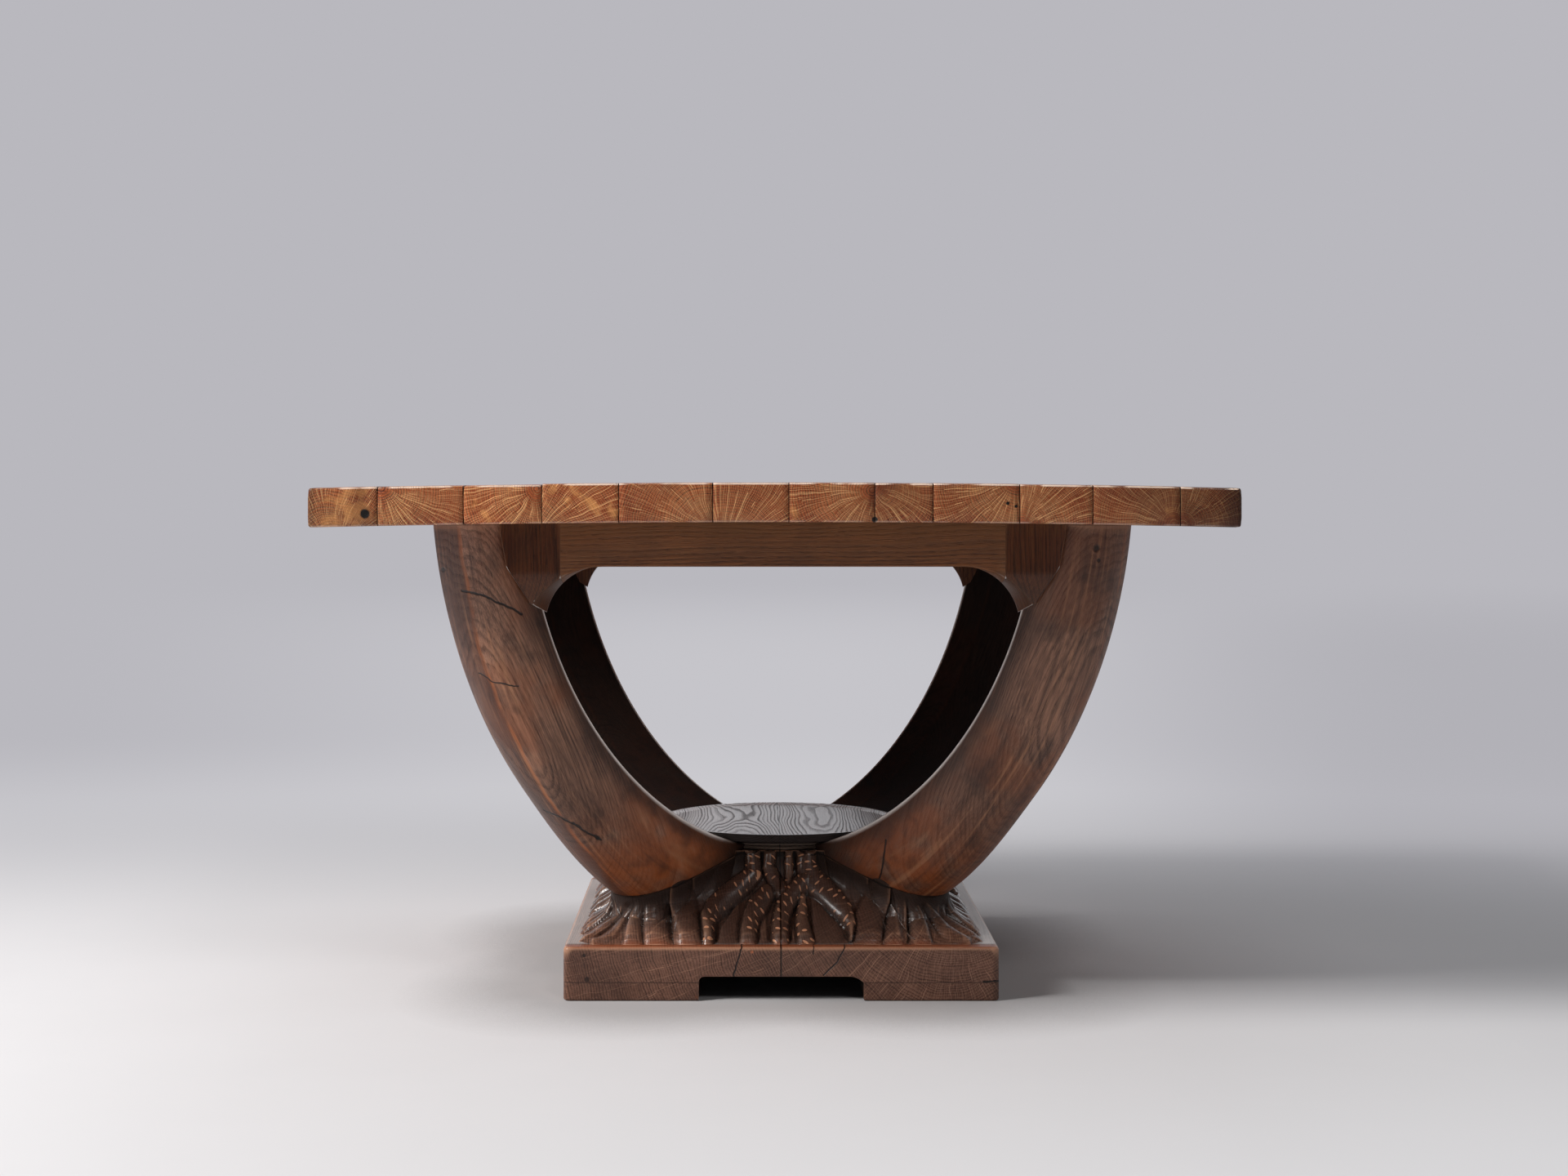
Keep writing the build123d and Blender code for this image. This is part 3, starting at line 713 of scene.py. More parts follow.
def sweep(bm, loops, start=0):
    """Extrude a closed loop from one set of places (mm) to the next, and close both ends."""
    size = len(loops[0])
    if start == 0:
        order = bm.verts.layers.int.new("order")
        loop = [bm.verts.new(Vector(point) * MM) for point in loops[0]]
        rim = [bm.edges.new((loop[number - 1], loop[number])) for number in range(size)]
        bmesh.ops.contextual_create(bm, geom=rim)
        for number, vert in enumerate(loop):
            vert[order] = number
        start = 1
    else:
        order = bm.verts.layers.int["order"]
        found = {vert[order]: vert for vert in bm.verts if vert[order] >= (start - 1) * size}
        loop = [found[(start - 1) * size + number] for number in range(size)]
        caps = [face for face in loop[0].link_faces if len(face.verts) > 4]
        bmesh.ops.delete(bm, geom=caps, context="FACES_ONLY")
        around_loop = dict.fromkeys(edge for vert in loop for edge in vert.link_edges)
        rim = [edge for edge in around_loop if edge.is_boundary]
    for ring in range(start, len(loops)):
        made = bmesh.ops.extrude_edge_only(bm, edges=rim)["geom"]
        rim = [part for part in made if isinstance(part, bmesh.types.BMEdge)]
        fresh = {part for part in made if isinstance(part, bmesh.types.BMVert)}
        partner = {}
        for vert in fresh:
            for edge in vert.link_edges:
                other = edge.other_vert(vert)
                if other not in fresh:
                    partner[other] = vert
        loop = [partner[vert] for vert in loop]
        for number, (vert, point) in enumerate(zip(loop, loops[ring])):
            vert.co = Vector(point) * MM
            vert[order] = ring * size + number
    bmesh.ops.contextual_create(bm, geom=rim)
    bmesh.ops.recalc_face_normals(bm, faces=bm.faces)


def slice_off(bm, place, normal):
    """Cut away what lies on the normal's side of a plane, and close the cut."""
    parts = bm.verts[:] + bm.edges[:] + bm.faces[:]
    cut = bmesh.ops.bisect_plane(bm, geom=parts, plane_co=place, plane_no=normal, clear_outer=True)
    edges = [part for part in cut["geom_cut"] if isinstance(part, bmesh.types.BMEdge)]
    if edges:
        bmesh.ops.holes_fill(bm, edges=edges, sides=0)


def fit_under_top(bm):
    """Scribe a piece of the frame to the undersides of the boards."""
    for low, high in board_boxes:
        left_z = frame_top * MM - top_drop(low.x)
        right_z = frame_top * MM - top_drop(high.x)
        slope = Vector((high.x - low.x, 0, right_z - left_z))
        slice_off(bm, Vector((low.x, 0, left_z)), Vector((-slope.z, 0, slope.x)).normalized())


def mark_leg(mesh, spots, turn, seed):
    """Log and lengthwise coordinates of a leg: the fibres run down its chord."""
    outward = np.array(compass(turn))
    sideways = np.array(compass(turn + 90))
    chord = outward * 285 + np.array((0, 0, 563))
    chord /= np.linalg.norm(chord)
    depth = np.cross(sideways, chord)
    heart = outward * 470 + np.array((0, 0, 420))
    offset = spots - heart
    log = (offset @ sideways - 25 + 12 * seed, offset @ depth + 70, offset @ chord + 1700 * seed)
    carry(mesh, "log", np.stack(log, axis=1))
    radial = (spots @ outward - arch_centre_r) / arch_half_width
    rise = (arch_centre_z - spots[:, 2]) / arch_half_height
    outer = np.hypot(radial, rise) - 1
    carry(mesh, "outer", np.clip((outer - 0.02) * 25, -1, 1))
    carry(mesh, "leg", np.stack((np.arctan2(rise, radial), spots @ sideways, outer), axis=1))


def make_leg(name, turn, material, seed):
    loops = []
    for step in range(leg_steps + 1):
        slope = first_slope + (last_slope - first_slope) * step / leg_steps
        loop = []
        for x, y in leg_outline(slope):
            lump = noise.noise(Vector((x * 0.012, y * 0.012, slope * 0.07 + seed * 9))) * 1.2
            loop.append(leg_point(turn, slope, x, y - max(0, lump) if y > leg_hollow + 1 else y))
        loops.append(loop)
    bm = bmesh.new()
    sweep(bm, loops)
    sharp = [edge for edge in bm.edges if edge.calc_face_angle(0) > 0.7]
    arrises = [edge for edge in sharp if all(len(face.verts) == 4 for face in edge.link_faces)]
    round_edges(bm, arrises, leg_arris * MM, 3)
    fit_under_top(bm)
    outward = compass(turn)
    foot = Vector((axis_x, 0, seam_z)) + outward * seam_r
    slice_off(bm, foot * MM, -(outward * seam_slope + Vector((0, 0, 1))).normalized())
    slice_off(bm, (Vector((axis_x, 0, 0)) + outward * hub_r) * MM, -outward)
    mesh, spots = as_mesh(bm, name)
    mark_leg(mesh, spots - axis, turn, seed)
    weather(mesh, spots, 2, 4)
    set_piece(f"tusk_leg_{name}", mesh, material, "leg_oak", f"leg_{name}", smooth=40)


# Drying checks of the front legs as lines in the upright plane (mm) with their widths, and knots
# with their sizes and colours.
left_checks = (
    (((-437.4, 609.4), (-405.0, 602.4), (-376.1, 587.4), (-352.9, 575.8)), 2.2),
    (((-416.6, 490.1), (-396.9, 478.5), (-359.9, 472.7)), 1.3),
    (((-334.1, 283.0), (-289.7, 265.1), (-250.2, 238.7)), 2.0),
)
left_blemishes = (
    ((-466.4, 637.2), 5, (12, 7, 4)),
    ((-289.7, 265.1), 4, (16, 9, 6)),
    ((-255.0, 241.1), 5, (18, 10, 6)),
)
right_checks = ((((169.5, 227.9), (167.1, 197.9), (161.1, 162.0)), 1.5),)
right_blemishes = (
    ((450.8, 668.4), 7, (34, 20, 12)),
    ((454.2, 651.1), 4, (30, 14, 8)),
)
leg_finishes = {
    "front_left": make_leg_finish("leg_oak_front_left", 0.85, left_checks, left_blemishes),
    "front_right": make_leg_finish("leg_oak_front_right", 0.25, right_checks, right_blemishes),
    "back_left": make_leg_finish("leg_oak_back_left", 0.4),
    "back_right": make_leg_finish("leg_oak_back_right", 0.5),
}
for seed, (name, turn) in enumerate(leg_turns.items()):
    make_leg(name, turn, leg_finishes[name], seed)


# ---- Aprons and knees ---------------------------------------------------------------------
# Four oak rails under the top, and upright blocks at their ends that are carved to an arch.
# The knees are coved towards the legs, and their arched undersides are cut as a wide bevel.

apron_under = 642
apron_thickness = 45
arch_lead = 60
arch_front = 120
arch_back = 84
knee_lap = 37
knee_drops = (54, 67)
knee_cove = 17
knee_toe = (354, 587)
knee_rings = 44
ruled_steps = 8
under_steps = 40
top_steps = 20
sides = {
    "front": (270, ("left", "right")),
    "right": (0, ("front", "back")),
    "back": (90, ("right", "left")),
    "left": (180, ("back", "front")),
}


def arch_r(z):
    return arch_centre_r + arch_half_width * math.sqrt(1 - ((arch_centre_z - z) / arch_half_height) ** 2)


def leg_edge(z):
    return (arch_r(z) - leg_half_width) / root_two


apron_face = (arch_r(frame_top) + leg_half_width) / root_two + 17
apron_rear = apron_face - apron_thickness
apron_end = leg_edge(frame_top) - 46
arch_x = apron_end - arch_lead


def side_point(turn, along, out, z):
    """Place in millimetres beside an apron: along it, out from the axis, and above the floor."""
    spot = Vector((axis_x, 0, 0)) + compass(turn) * out + compass(turn + 90) * along
    spot.z = z
    return spot


def arc_point(radius, angle):
    return (arch_x + radius * math.cos(angle), apron_under - radius + radius * math.sin(angle))


def make_rail_finish(name, plain, pale, band, line):
    """Dark waxed oak of the frame, with a paler band where the rail was worn under the top, a painted sheen
    on its undersides, a painted highlight along its arched edges and painted shadow under the boards.
    """
    finish, spot, (x, _, z) = new_finish(name)
    wood = oak(finish, (30, 13, 4), plain, pale, (124, 80, 42), ring=5.5, ray=0.3, pore=0.5)
    worn = finish.own("worn")
    streak = finish.cloud(finish.stretch(spot, (9, 9, 90)), 1, 3)
    blotch = finish.cloud(spot, 16, 3)
    _, _, facing = finish.parts(finish.node("ShaderNodeNewGeometry", output=1))
    arched = z.fall(641, 645) * facing.fall(-0.35, -0.1)
    # Dark grime in the hollows, and painted shadow along the top of the rail under the boards.
    grime_and_top_shadow = finish.maths("MAXIMUM", finish.own("hollow") * 0.7, uncrowned(x, z).step(703, 705) * 0.7)
    colour = finish.coats(
        wood["colour"],
        ((z + streak * 20).step(690, 706) * band, (118, 78, 40)),
        (blotch.step(0.5, 0.75) * 0.35, (48, 26, 12)),
        (worn.step(0.1, 0.5) * 0.4, (140, 96, 62)),
        # A painted sheen on the downward-facing undersides, such as the arched bevels of the knees.
        (facing.fall(-0.7, -0.25) * line * 0.6, (88, 64, 50)),
        # A painted white highlight along the arrises of the arches.
        (worn.step(0.25, 0.55) * arched * line * 0.9, (240, 234, 228)),
        (grime_and_top_shadow, (18, 10, 6)),
    )
    return polish(finish, colour, wood["height"] + blotch, 0.4 + blotch * 0.14, 0.0005, 0.25, 0.3)


apron_oak = make_rail_finish("apron_oak", (96, 52, 19), (140, 82, 36), 0.5, 0.1)
knee_oak = make_rail_finish("knee_oak", (72, 33, 10), (104, 56, 24), 0.1, 1.0)


def finish_rail(bm, name, turn, ease, capped):
    """Ease the arrises and scribe the top. Gives the mesh, and each point out, along and up (mm)."""
    rims = [edge for edge in bm.edges if edge.calc_face_angle(0) > 0.6
            and max(vert.co.z for vert in edge.verts) < (frame_top - 8) * MM
            and (capped or all(len(face.verts) == 4 for face in edge.link_faces))]
    round_edges(bm, rims, ease * MM, 3)
    fit_under_top(bm)
    mesh, spots = as_mesh(bm, name)
    weather(mesh, spots, 2, 3)
    spots = spots - axis
    return mesh, spots @ np.array(compass(turn)), spots @ np.array(compass(turn + 90)), spots[:, 2]


def make_apron(side, turn, seed):
    def outline(radius):
        swing = math.acos(arch_lead / radius)
        turns = [swing + (math.pi / 2 - swing) * step / ruled_steps for step in range(ruled_steps + 1)]
        arch = [arc_point(radius, angle) for angle in turns]
        flat = [(arch_x * (1 - 2 * step / under_steps), apron_under) for step in range(1, under_steps)]
        end = [(apron_end, frame_top - 4 + 2 * step) for step in range(3)]
        shelf = [(apron_end * (2 * step / top_steps - 1), frame_top) for step in range(1, top_steps)]
        return arch + flat + [(-x, z) for x, z in arch[::-1] + end] + shelf + end[::-1]

    front = outline(arch_front)
    rear = outline(arch_back)
    loops = []
    for step in range(ruled_steps + 1):
        share = step / ruled_steps
        out = apron_face + (apron_rear - apron_face) * share
        ruled = [Vector(ahead).lerp(Vector(behind), share) for ahead, behind in zip(front, rear)]
        loops.append([side_point(turn, x, out, z) for x, z in ruled])
    bm = bmesh.new()
    sweep(bm, loops)
    mesh, out, along, up = finish_rail(bm, f"apron_{side}", turn, 2.5, True)
    log = (out - apron_face - 34, up - 720 - 9 * seed, along + 5000 + 900 * seed)
    carry(mesh, "log", np.stack(log, axis=1))
    set_piece(f"rail_{side}", mesh, apron_oak, "apron_oak", f"apron_{side}", smooth=35)


def knee_face(along, z):
    """How far out the coved face of a knee block stands."""
    cove = knee_cove * max(0, (along - 330) / 64) ** 2.5
    recede = 17 * max(0, (632 - z) / 44) ** 1.3
    return apron_face + cove - recede


def make_knee(side, end, turn, hand, seed):
    arcs = []
    for radius, drop in zip((arch_front, arch_back), knee_drops):
        arcs.append((radius, math.acos(arch_lead / radius), math.asin((radius - drop) / radius)))
    shell = [Vector(spot) for spot in ((apron_end, frame_top), (leg_edge(frame_top) + knee_lap, frame_top),
                                       (leg_edge(frame_top) + knee_lap, frame_top - 16),
                                       (leg_edge(apron_under) + knee_lap, apron_under),
                                       (leg_edge(600) + 20, 600), knee_toe)]
    lengths = [(b - a).length for a, b in zip(shell, shell[1:])]
    loops = []
    for step in range(knee_rings + 1):
        share = step / knee_rings * 0.985
        inner = [Vector(arc_point(radius, joint + (tip - joint) * share)) for radius, joint, tip in arcs]
        travel = share * sum(lengths)
        part = 0
        while part < len(lengths) - 1 and travel > lengths[part]:
            travel -= lengths[part]
            part += 1
        outer = shell[part].lerp(shell[part + 1], travel / lengths[part])
        loop = []
        for number in range(20):
            spot = inner[0].lerp(outer, number / 20)
            loop.append((spot.x, knee_face(spot.x, spot.y), spot.y))
        outer_out = knee_face(outer.x, outer.y)
        for number in range(5):
            loop.append((outer.x, outer_out + (apron_rear - outer_out) * number / 5, outer.y))
        for number in range(8):
            spot = outer.lerp(inner[1], number / 8)
            loop.append((spot.x, apron_rear, spot.y))
        inner_out = knee_face(inner[0].x, inner[0].y)
        for number in range(10):
            spot = inner[1].lerp(inner[0], number / 10)
            loop.append((spot.x, apron_rear + (inner_out - apron_rear) * number / 10, spot.y))
        loops.append([side_point(turn, hand * x, out, z) for x, out, z in loop])
    bm = bmesh.new()
    sweep(bm, loops)
    mesh, out, along, up = finish_rail(bm, f"knee_{side}_{end}", turn, 1.6, False)
    log = (out - apron_face + 60, along * hand - apron_end + 30, up + 8000 + 700 * seed)
    carry(mesh, "log", np.stack(log, axis=1))
    set_piece(f"knee_block_{side}_{end}", mesh, knee_oak, "knee_oak", f"knee_{side}_{end}", smooth=45)


for seed, (side, (turn, ends)) in enumerate(sides.items()):
    make_apron(side, turn, seed)
    for hand, end in zip((-1, 1), ends):
        make_knee(side, end, turn, hand, 2 * seed + (hand > 0))


# ---- Carved base --------------------------------------------------------------------------
# A block of oak in two halves: a square slab, and a mound that is carved all round with roots,
# lobes and flutes. Collars grow out of it to take the legs. It stands on four corner feet.

slab_half = 320
slab_corner = 10
slab_low = 27
slab_high = 79
slab_arris = 5
mound_top = 199
mound_rises = (0, 9, 21, 46, 80, 120)
mound_halves = (304, 284, 265, 232, 197, 170)
mound_corners = (18, 30, 50, 60, 60, 50)
collar_rises = (0, 9, 20, 41, 118)
collar_growths = (45, 26, 10, 0, 0)
collar_round = 68
collar_reach = 259
pocket_half = 75.3
channel_size = (700, 242, 18)
channel_round = 8
base_columns = 1080
slab_rows = 14
arris_rows = 5
flat_rows = 24
skirt_rows = 112
cap_rows = 11
low_rings = 9


def square_r(angle, half, corner):
    """How far a rounded square reaches from its middle."""
    fold = np.abs((angle + np.pi / 4) % (np.pi / 2) - np.pi / 4)
    flat = half / np.cos(fold)
    centre = (half - corner) * root_two
    off = fold - np.pi / 4
    rounded = centre * np.cos(off) + np.sqrt(np.maximum(corner**2 - (centre * np.sin(off)) ** 2, 0))
    return np.where(np.tan(fold) * half > half - corner, rounded, flat)


def collar_edge(angle, growth):
    """How far the round-ended bars under the legs reach from the middle."""
    radius = collar_round + growth
    off = (angle % (np.pi / 2)) - np.pi / 4
    sideways = np.abs(np.sin(off))
    end = collar_reach * np.cos(off) + np.sqrt(np.maximum(radius**2 - (collar_reach * sideways) ** 2, 0))
    flank = radius / np.maximum(sideways, 1e-6)
    hits_end = collar_reach * sideways < radius
    return np.where(hits_end & (end * np.cos(off) > collar_reach), end, flank)


def skirt_r(angle, z):
    """Reach of the mound and its collars at a height, blended where they meet."""
    rise = z - slab_high
    blend = 14

    def smoothed(marks, values):
        return sum(np.interp(rise + step, marks, values) for step in (-10, -5, 0, 5, 10)) / 5

    mound = square_r(angle, smoothed(mound_rises, mound_halves), smoothed(mound_rises, mound_corners))
    collar = collar_edge(angle, smoothed(collar_rises, collar_growths))
    fillet = np.log(2) * np.exp(-np.abs(mound - collar) / blend) * 0.5
    return blend * np.logaddexp(mound / blend, collar / blend) - blend * fillet


def seam_height(reach):
    return seam_z + (seam_r - reach) * seam_slope


def seam_ring(angle):
    """How far from the axis the outside of a leg meets its seam, and 0 where there is no leg."""
    bearing = []
    reaches = []
    for number in range(arc_steps, len(leg_outline(50))):
        last = None
        for slope in np.arange(40, 84, 0.5):
            x, y = leg_outline(slope)[number]
            spot = leg_point(45, slope, x, y) - Vector((axis_x, 0, 0))
            above = spot.z - seam_height((spot.x + spot.y) / root_two)
            if last is not None and last[1] > 0 >= above:
                place = last[0].lerp(spot, last[1] / (last[1] - above))
                bearing.append(math.atan2(place.y, place.x) - math.pi / 4)
                reaches.append(math.hypot(place.x, place.y))
                break
            last = (spot, above)
    order = np.argsort(bearing)
    off = (angle % (np.pi / 2)) - np.pi / 4
    return np.interp(off, np.array(bearing)[order], np.array(reaches)[order], left=0, right=0)


# Carved on each side of the mound: points along the middle of every stem or lobe, with the place
# along the side, the height and the half width, and how proud it stands. Flutes have their depth.
stems = (
    (((-42, 204, 12), (-41, 167, 14), (-56, 156, 16), (-78, 141, 17), (-100, 124, 16), (-108, 112, 14),
      (-108, 99, 11), (-107, 74, 8)), 8),
    (((-14, 204, 10), (-17, 175, 11), (-8, 157, 12), (2, 144, 13)), 6),
    (((14, 204, 7), (14, 176, 8), (13, 148, 7)), 3.5),
    (((-20, 142, 13), (-33, 128, 17), (-43, 114, 15), (-47, 99, 14), (-49, 74, 14.5)), 7),
    (((40, 204, 16), (41, 176, 17), (50, 159, 19), (66, 147, 18), (81, 134, 17), (96, 119, 14),
      (105, 103, 9), (104, 90, 4), (103, 84, 2)), 8.5),
    (((44, 163, 13), (24, 147, 15), (9, 131, 15), (2, 115, 14), (-1, 100, 14), (0, 74, 14)), 8),
    (((33, 136, 6), (33, 122, 9), (32, 109, 11), (35, 92, 13), (39, 74, 15)), 6),
)
lobes = (
    (((-62, 136, 1), (-70, 114, 8), (-78, 96, 14), (-80, 74, 17)), -1.5),
    (((-22, 124, 1), (-26, 104, 6), (-26, 74, 9)), -2),
    (((19, 104, 1), (19, 90, 4), (19, 74, 7)), -2),
    (((49, 141, 3), (58, 117, 12), (67, 98, 22), (74, 74, 30)), -1),
    (((-154, 166, 14), (-149, 134, 20), (-143, 108, 22), (-136, 74, 21)), 8),
    (((-186, 148, 12), (-189, 120, 17), (-187, 98, 20), (-181, 74, 20)), 7.5),
    (((-206, 140, 7), (-215, 114, 12), (-218, 96, 15), (-220, 74, 17)), 6.5),
    (((-222, 132, 3), (-236, 112, 6), (-250, 94, 9), (-275, 80, 9)), 5),
    (((156, 172, 14), (146, 138, 20), (133, 108, 24), (126, 74, 23)), 8),
    (((182, 150, 8), (176, 122, 14), (172, 98, 18), (168, 74, 19)), 7),
    (((196, 142, 6), (202, 116, 12), (206, 98, 15), (210, 74, 17)), 6.5),
    (((216, 136, 3), (230, 116, 6), (246, 96, 9), (274, 80, 9)), 5),
)
flutes = (
    (((-228, 126, 5), (-240, 112, 10), (-250, 100, 12), (-268, 92, 9)), 6),
    (((216, 128, 4), (229, 114, 8), (241, 96, 10), (260, 86, 8)), 6),
    (((-176, 138, 3), (-169, 124, 4), (-163, 107, 5), (-152, 80, 5)), 3),
    (((178, 124, 4), (178, 105, 5), (182, 80, 6)), 3),
)
lobe_ground = -6
stem_ground = -7


def follow(x, z, line):
    """Distance from a carved line, place along and across it, and its half width there."""
    away = np.full(x.shape, 1e9)
    along = np.zeros(x.shape)
    across = np.zeros(x.shape)
    wide = np.ones(x.shape)
    run = 0
    for (ax, az, aw), (bx, bz, bw) in zip(line, line[1:]):
        dx = bx - ax
        dz = bz - az
        length = math.hypot(dx, dz)
        share = np.clip(((x - ax) * dx + (z - az) * dz) / length**2, 0, 1)
        off = np.hypot(x - ax - share * dx, z - az - share * dz)
        nearer = off < away
        away = np.where(nearer, off, away)
        along = np.where(nearer, run + share * length, along)
        across = np.where(nearer, ((x - ax) * dz - (z - az) * dx) / length, across)
        wide = np.where(nearer, aw + (bw - aw) * share, wide)
        run += length
    return away, along, across, wide


def carve(x, z):
    """Relief (mm) of the carving at places on a side of the mound, and stem coordinates for nicks."""
    middle = (1 / (1 + np.exp((-118 - x) / 3))) * (1 / (1 + np.exp((x - 104 + (z - 90) * 0.5) / 3)))
    relief = -6.0 * middle - 4.0 * (1 - middle)
    relief = relief * np.clip((250 - np.abs(x)) / 45, 0, 1)
    stem = np.zeros((len(x), 3))
    top = np.full(x.shape, -9.0)
    for line, proud in lobes:
        away, along, _, wide = follow(x, z, line)
        grown = np.sin(np.clip((along + 6) / 40, 0, 1) * np.pi / 2)
        swell = np.clip(1 - (away / wide) ** 2, 0, 1) ** 0.5 * grown
        relief = np.maximum(relief, np.where(away < wide, lobe_ground + (proud - lobe_ground) * swell, -99))
    for number, (line, proud) in enumerate(stems):
        away, along, across, wide = follow(x, z, line)
        swell = np.clip(1 - (away / wide) ** 2, 0, 1) ** 0.5
        height = np.where(away < wide, stem_ground + (proud - stem_ground) * swell, -99)
        above = height > np.maximum(relief, top)
        stem[above] = np.stack((along + 200 * number, across, 1 - away / wide), axis=1)[above]
        relief = np.maximum(relief, height)
        top = np.maximum(top, height)
    for line, depth in flutes:
        away, _, _, wide = follow(x, z, line)
        relief = relief - depth * np.exp(-((away / wide) ** 2))
    return relief, stem


# Drying cracks in the front of the slab as lines in its plane (mm) with their widths, and marks
# on it with their places, sizes and colours.
slab_cracks = (
    (((-45, 79), (-52, 55), (-57, 38), (-49, 31)), 1.5),
    (((110, 86), (103, 73), (95, 57), (75, 38)), 1.3),
    (((61, 79), (60, 69)), 1.0),
    (((310, 29), (332, 29)), 1.6),
)
slab_marks = (
    (-30, 72, 3, (190, 110, 70)),
    (-111, 7, 3, (112, 68, 48)),
    (-276, 67, 4, (26, 17, 14)),
    (-272, 32, 5, (30, 20, 18)),
)


def make_base_finish():
    """Dark waxed oak: tooled and glossy where carved, dusty and with a painted sheen on the slab, with pale
    nicks on the stems; painted shade under the legs' feet and in the channel, and a painted highlight on
    the slab's upper arris.
    """
    finish, spot, (x, y, z) = new_finish("base_oak")
    wood = oak(finish, (40, 20, 12), (98, 65, 52), (138, 97, 78), (186, 138, 110), ring=4.0, ray=0.55,
               pore=0.7, open_grain=0.7)
    worn = finish.own("worn")
    carved = finish.own("carved")
    blotch = finish.cloud(spot, 11, 4)
    ahead = abs(x - axis_x)
    beside = abs(y)
    under_leg = seam_z + (seam_r - (ahead + beside) / root_two) * seam_slope - z
    along, across, inside = finish.parts(finish.own("stem", 1))
    collar = under_leg.fall(8, 46) * z.step(100, 112) * inside.fall(0, 0.15)
    dust_and_sheen = z.step(77, 78.6) * z.fall(79.4, 80.4) * beside.fall(285, 300)
    copper = beside.step(294, 305) * z.step(76, 78.5) * (0.4 + blotch)
    rubbed = worn.step(0.1, 0.5) * z.step(58, 74) * (1 - carved * 0.6)
    row = along / 10.5
    row_number = finish.maths("FLOOR", row)
    column = across / 11 + finish.chance(row_number) * 1.7
    cell = finish.join(row_number, finish.maths("FLOOR", column), 0.0)
    luck = finish.node("ShaderNodeTexWhiteNoise", {"noise_dimensions": "2D"}, {"Vector": cell})
    off_across = finish.maths("FRACT", column) - 0.5
    off_along = finish.maths("FRACT", row) - 0.5 + off_across * (luck * 1.2 - 0.6)
    dash = finish.reach(off_along * 3.6, off_across * 1.35)
    nick = dash.fall(0.4, 0.54) * luck.step(0.34, 0.38) * inside.step(0.1, 0.22)
    nick = nick * (beside - ahead).step(-6, 6)
    colour = finish.coats(
        wood["colour"],
        (blotch.step(0.45, 0.7) * 0.35, (64, 44, 36)),
        (carved * 0.75, (66, 51, 45)),
        # Darker under the legs' feet: a darker finish, with painted shade beneath the legs.
        (collar * 0.85, (30, 14, 6)),
        # Pale dust and a painted sheen on the flat top of the slab, painted paler on the right where shade
        # falls.
        (dust_and_sheen * (x.step(0, 250) * 0.5 + 0.45), (216, 208, 204)),
        (copper * 0.8, (150, 78, 42)),
        # Paler along the slab's upper arris: wear, and a painted highlight.
        (rubbed * 0.7, (200, 150, 120)),
        (nick * 0.95, (224, 160, 122)),
        (finish.own("hollow") * 0.92, (12, 7, 5)),
    )
    tooled = finish.cloud(spot, 85, 3)
    height = wood["height"] * 0.6 + blotch - nick * 2.5 + tooled * carved * 4.5
    on_front = (0 - y).step(290, 305)
    shake = finish.cloud(spot, 90, 2)
    for line, width in slab_cracks:
        crack = near_line(finish, x + shake * 5 - 2.5, z + shake * 3 - 1.5, line, width) * on_front
        colour = finish.coats(colour, (crack * 0.95, (14, 8, 6)))
        height = height - crack * 5
    for mark_x, mark_z, size, shade in slab_marks:
        ragged = finish.reach(x - mark_x, z - mark_z) + shake * size
        colour = finish.coats(colour, (ragged.fall(size, size * 1.6) * on_front * 0.8, shade))
    # Painted shade: the channel under the slab is painted nearly black and kept from shining.
    channel = finish.maths("MINIMUM", ahead, beside).fall(120.6, 121.6) * z.fall(38, 40)
    channel = channel * finish.maths("MAXIMUM", ahead, beside).fall(316, 319)
    middle_joint = ahead.fall(0.7, 1.7)
    foot_joint = abs(z - slab_low).fall(0.3, 1.1) * 0.6
    gap = finish.maths("MAXIMUM", finish.maths("MAXIMUM", on_seam(x, y, z), middle_joint), foot_joint)
    colour = finish.coats(colour, (channel, (5, 3, 3)), (gap * 0.85, (16, 9, 6)))
    rough = 0.36 + blotch * 0.12 - carved * 0.17 + collar * 0.3
    shine = (0.3 + carved * 0.6) * (1 - channel) * (1 - collar)
    return polish(finish, colour, height - gap * 2, rough, 0.0006, shine, 0.27)


base_oak = make_base_finish()


def even_angles():
    """Angles that part the toe of the mound into equal lengths."""
    fine = np.linspace(0, 2 * np.pi, 7201)
    reach = skirt_r(fine, np.full(fine.shape, 110.0))
    x = reach * np.cos(fine)
    y = reach * np.sin(fine)
    length = np.concatenate(((0,), np.cumsum(np.hypot(np.diff(x), np.diff(y)))))
    return np.interp(np.arange(base_columns) / base_columns * length[-1], length, fine)


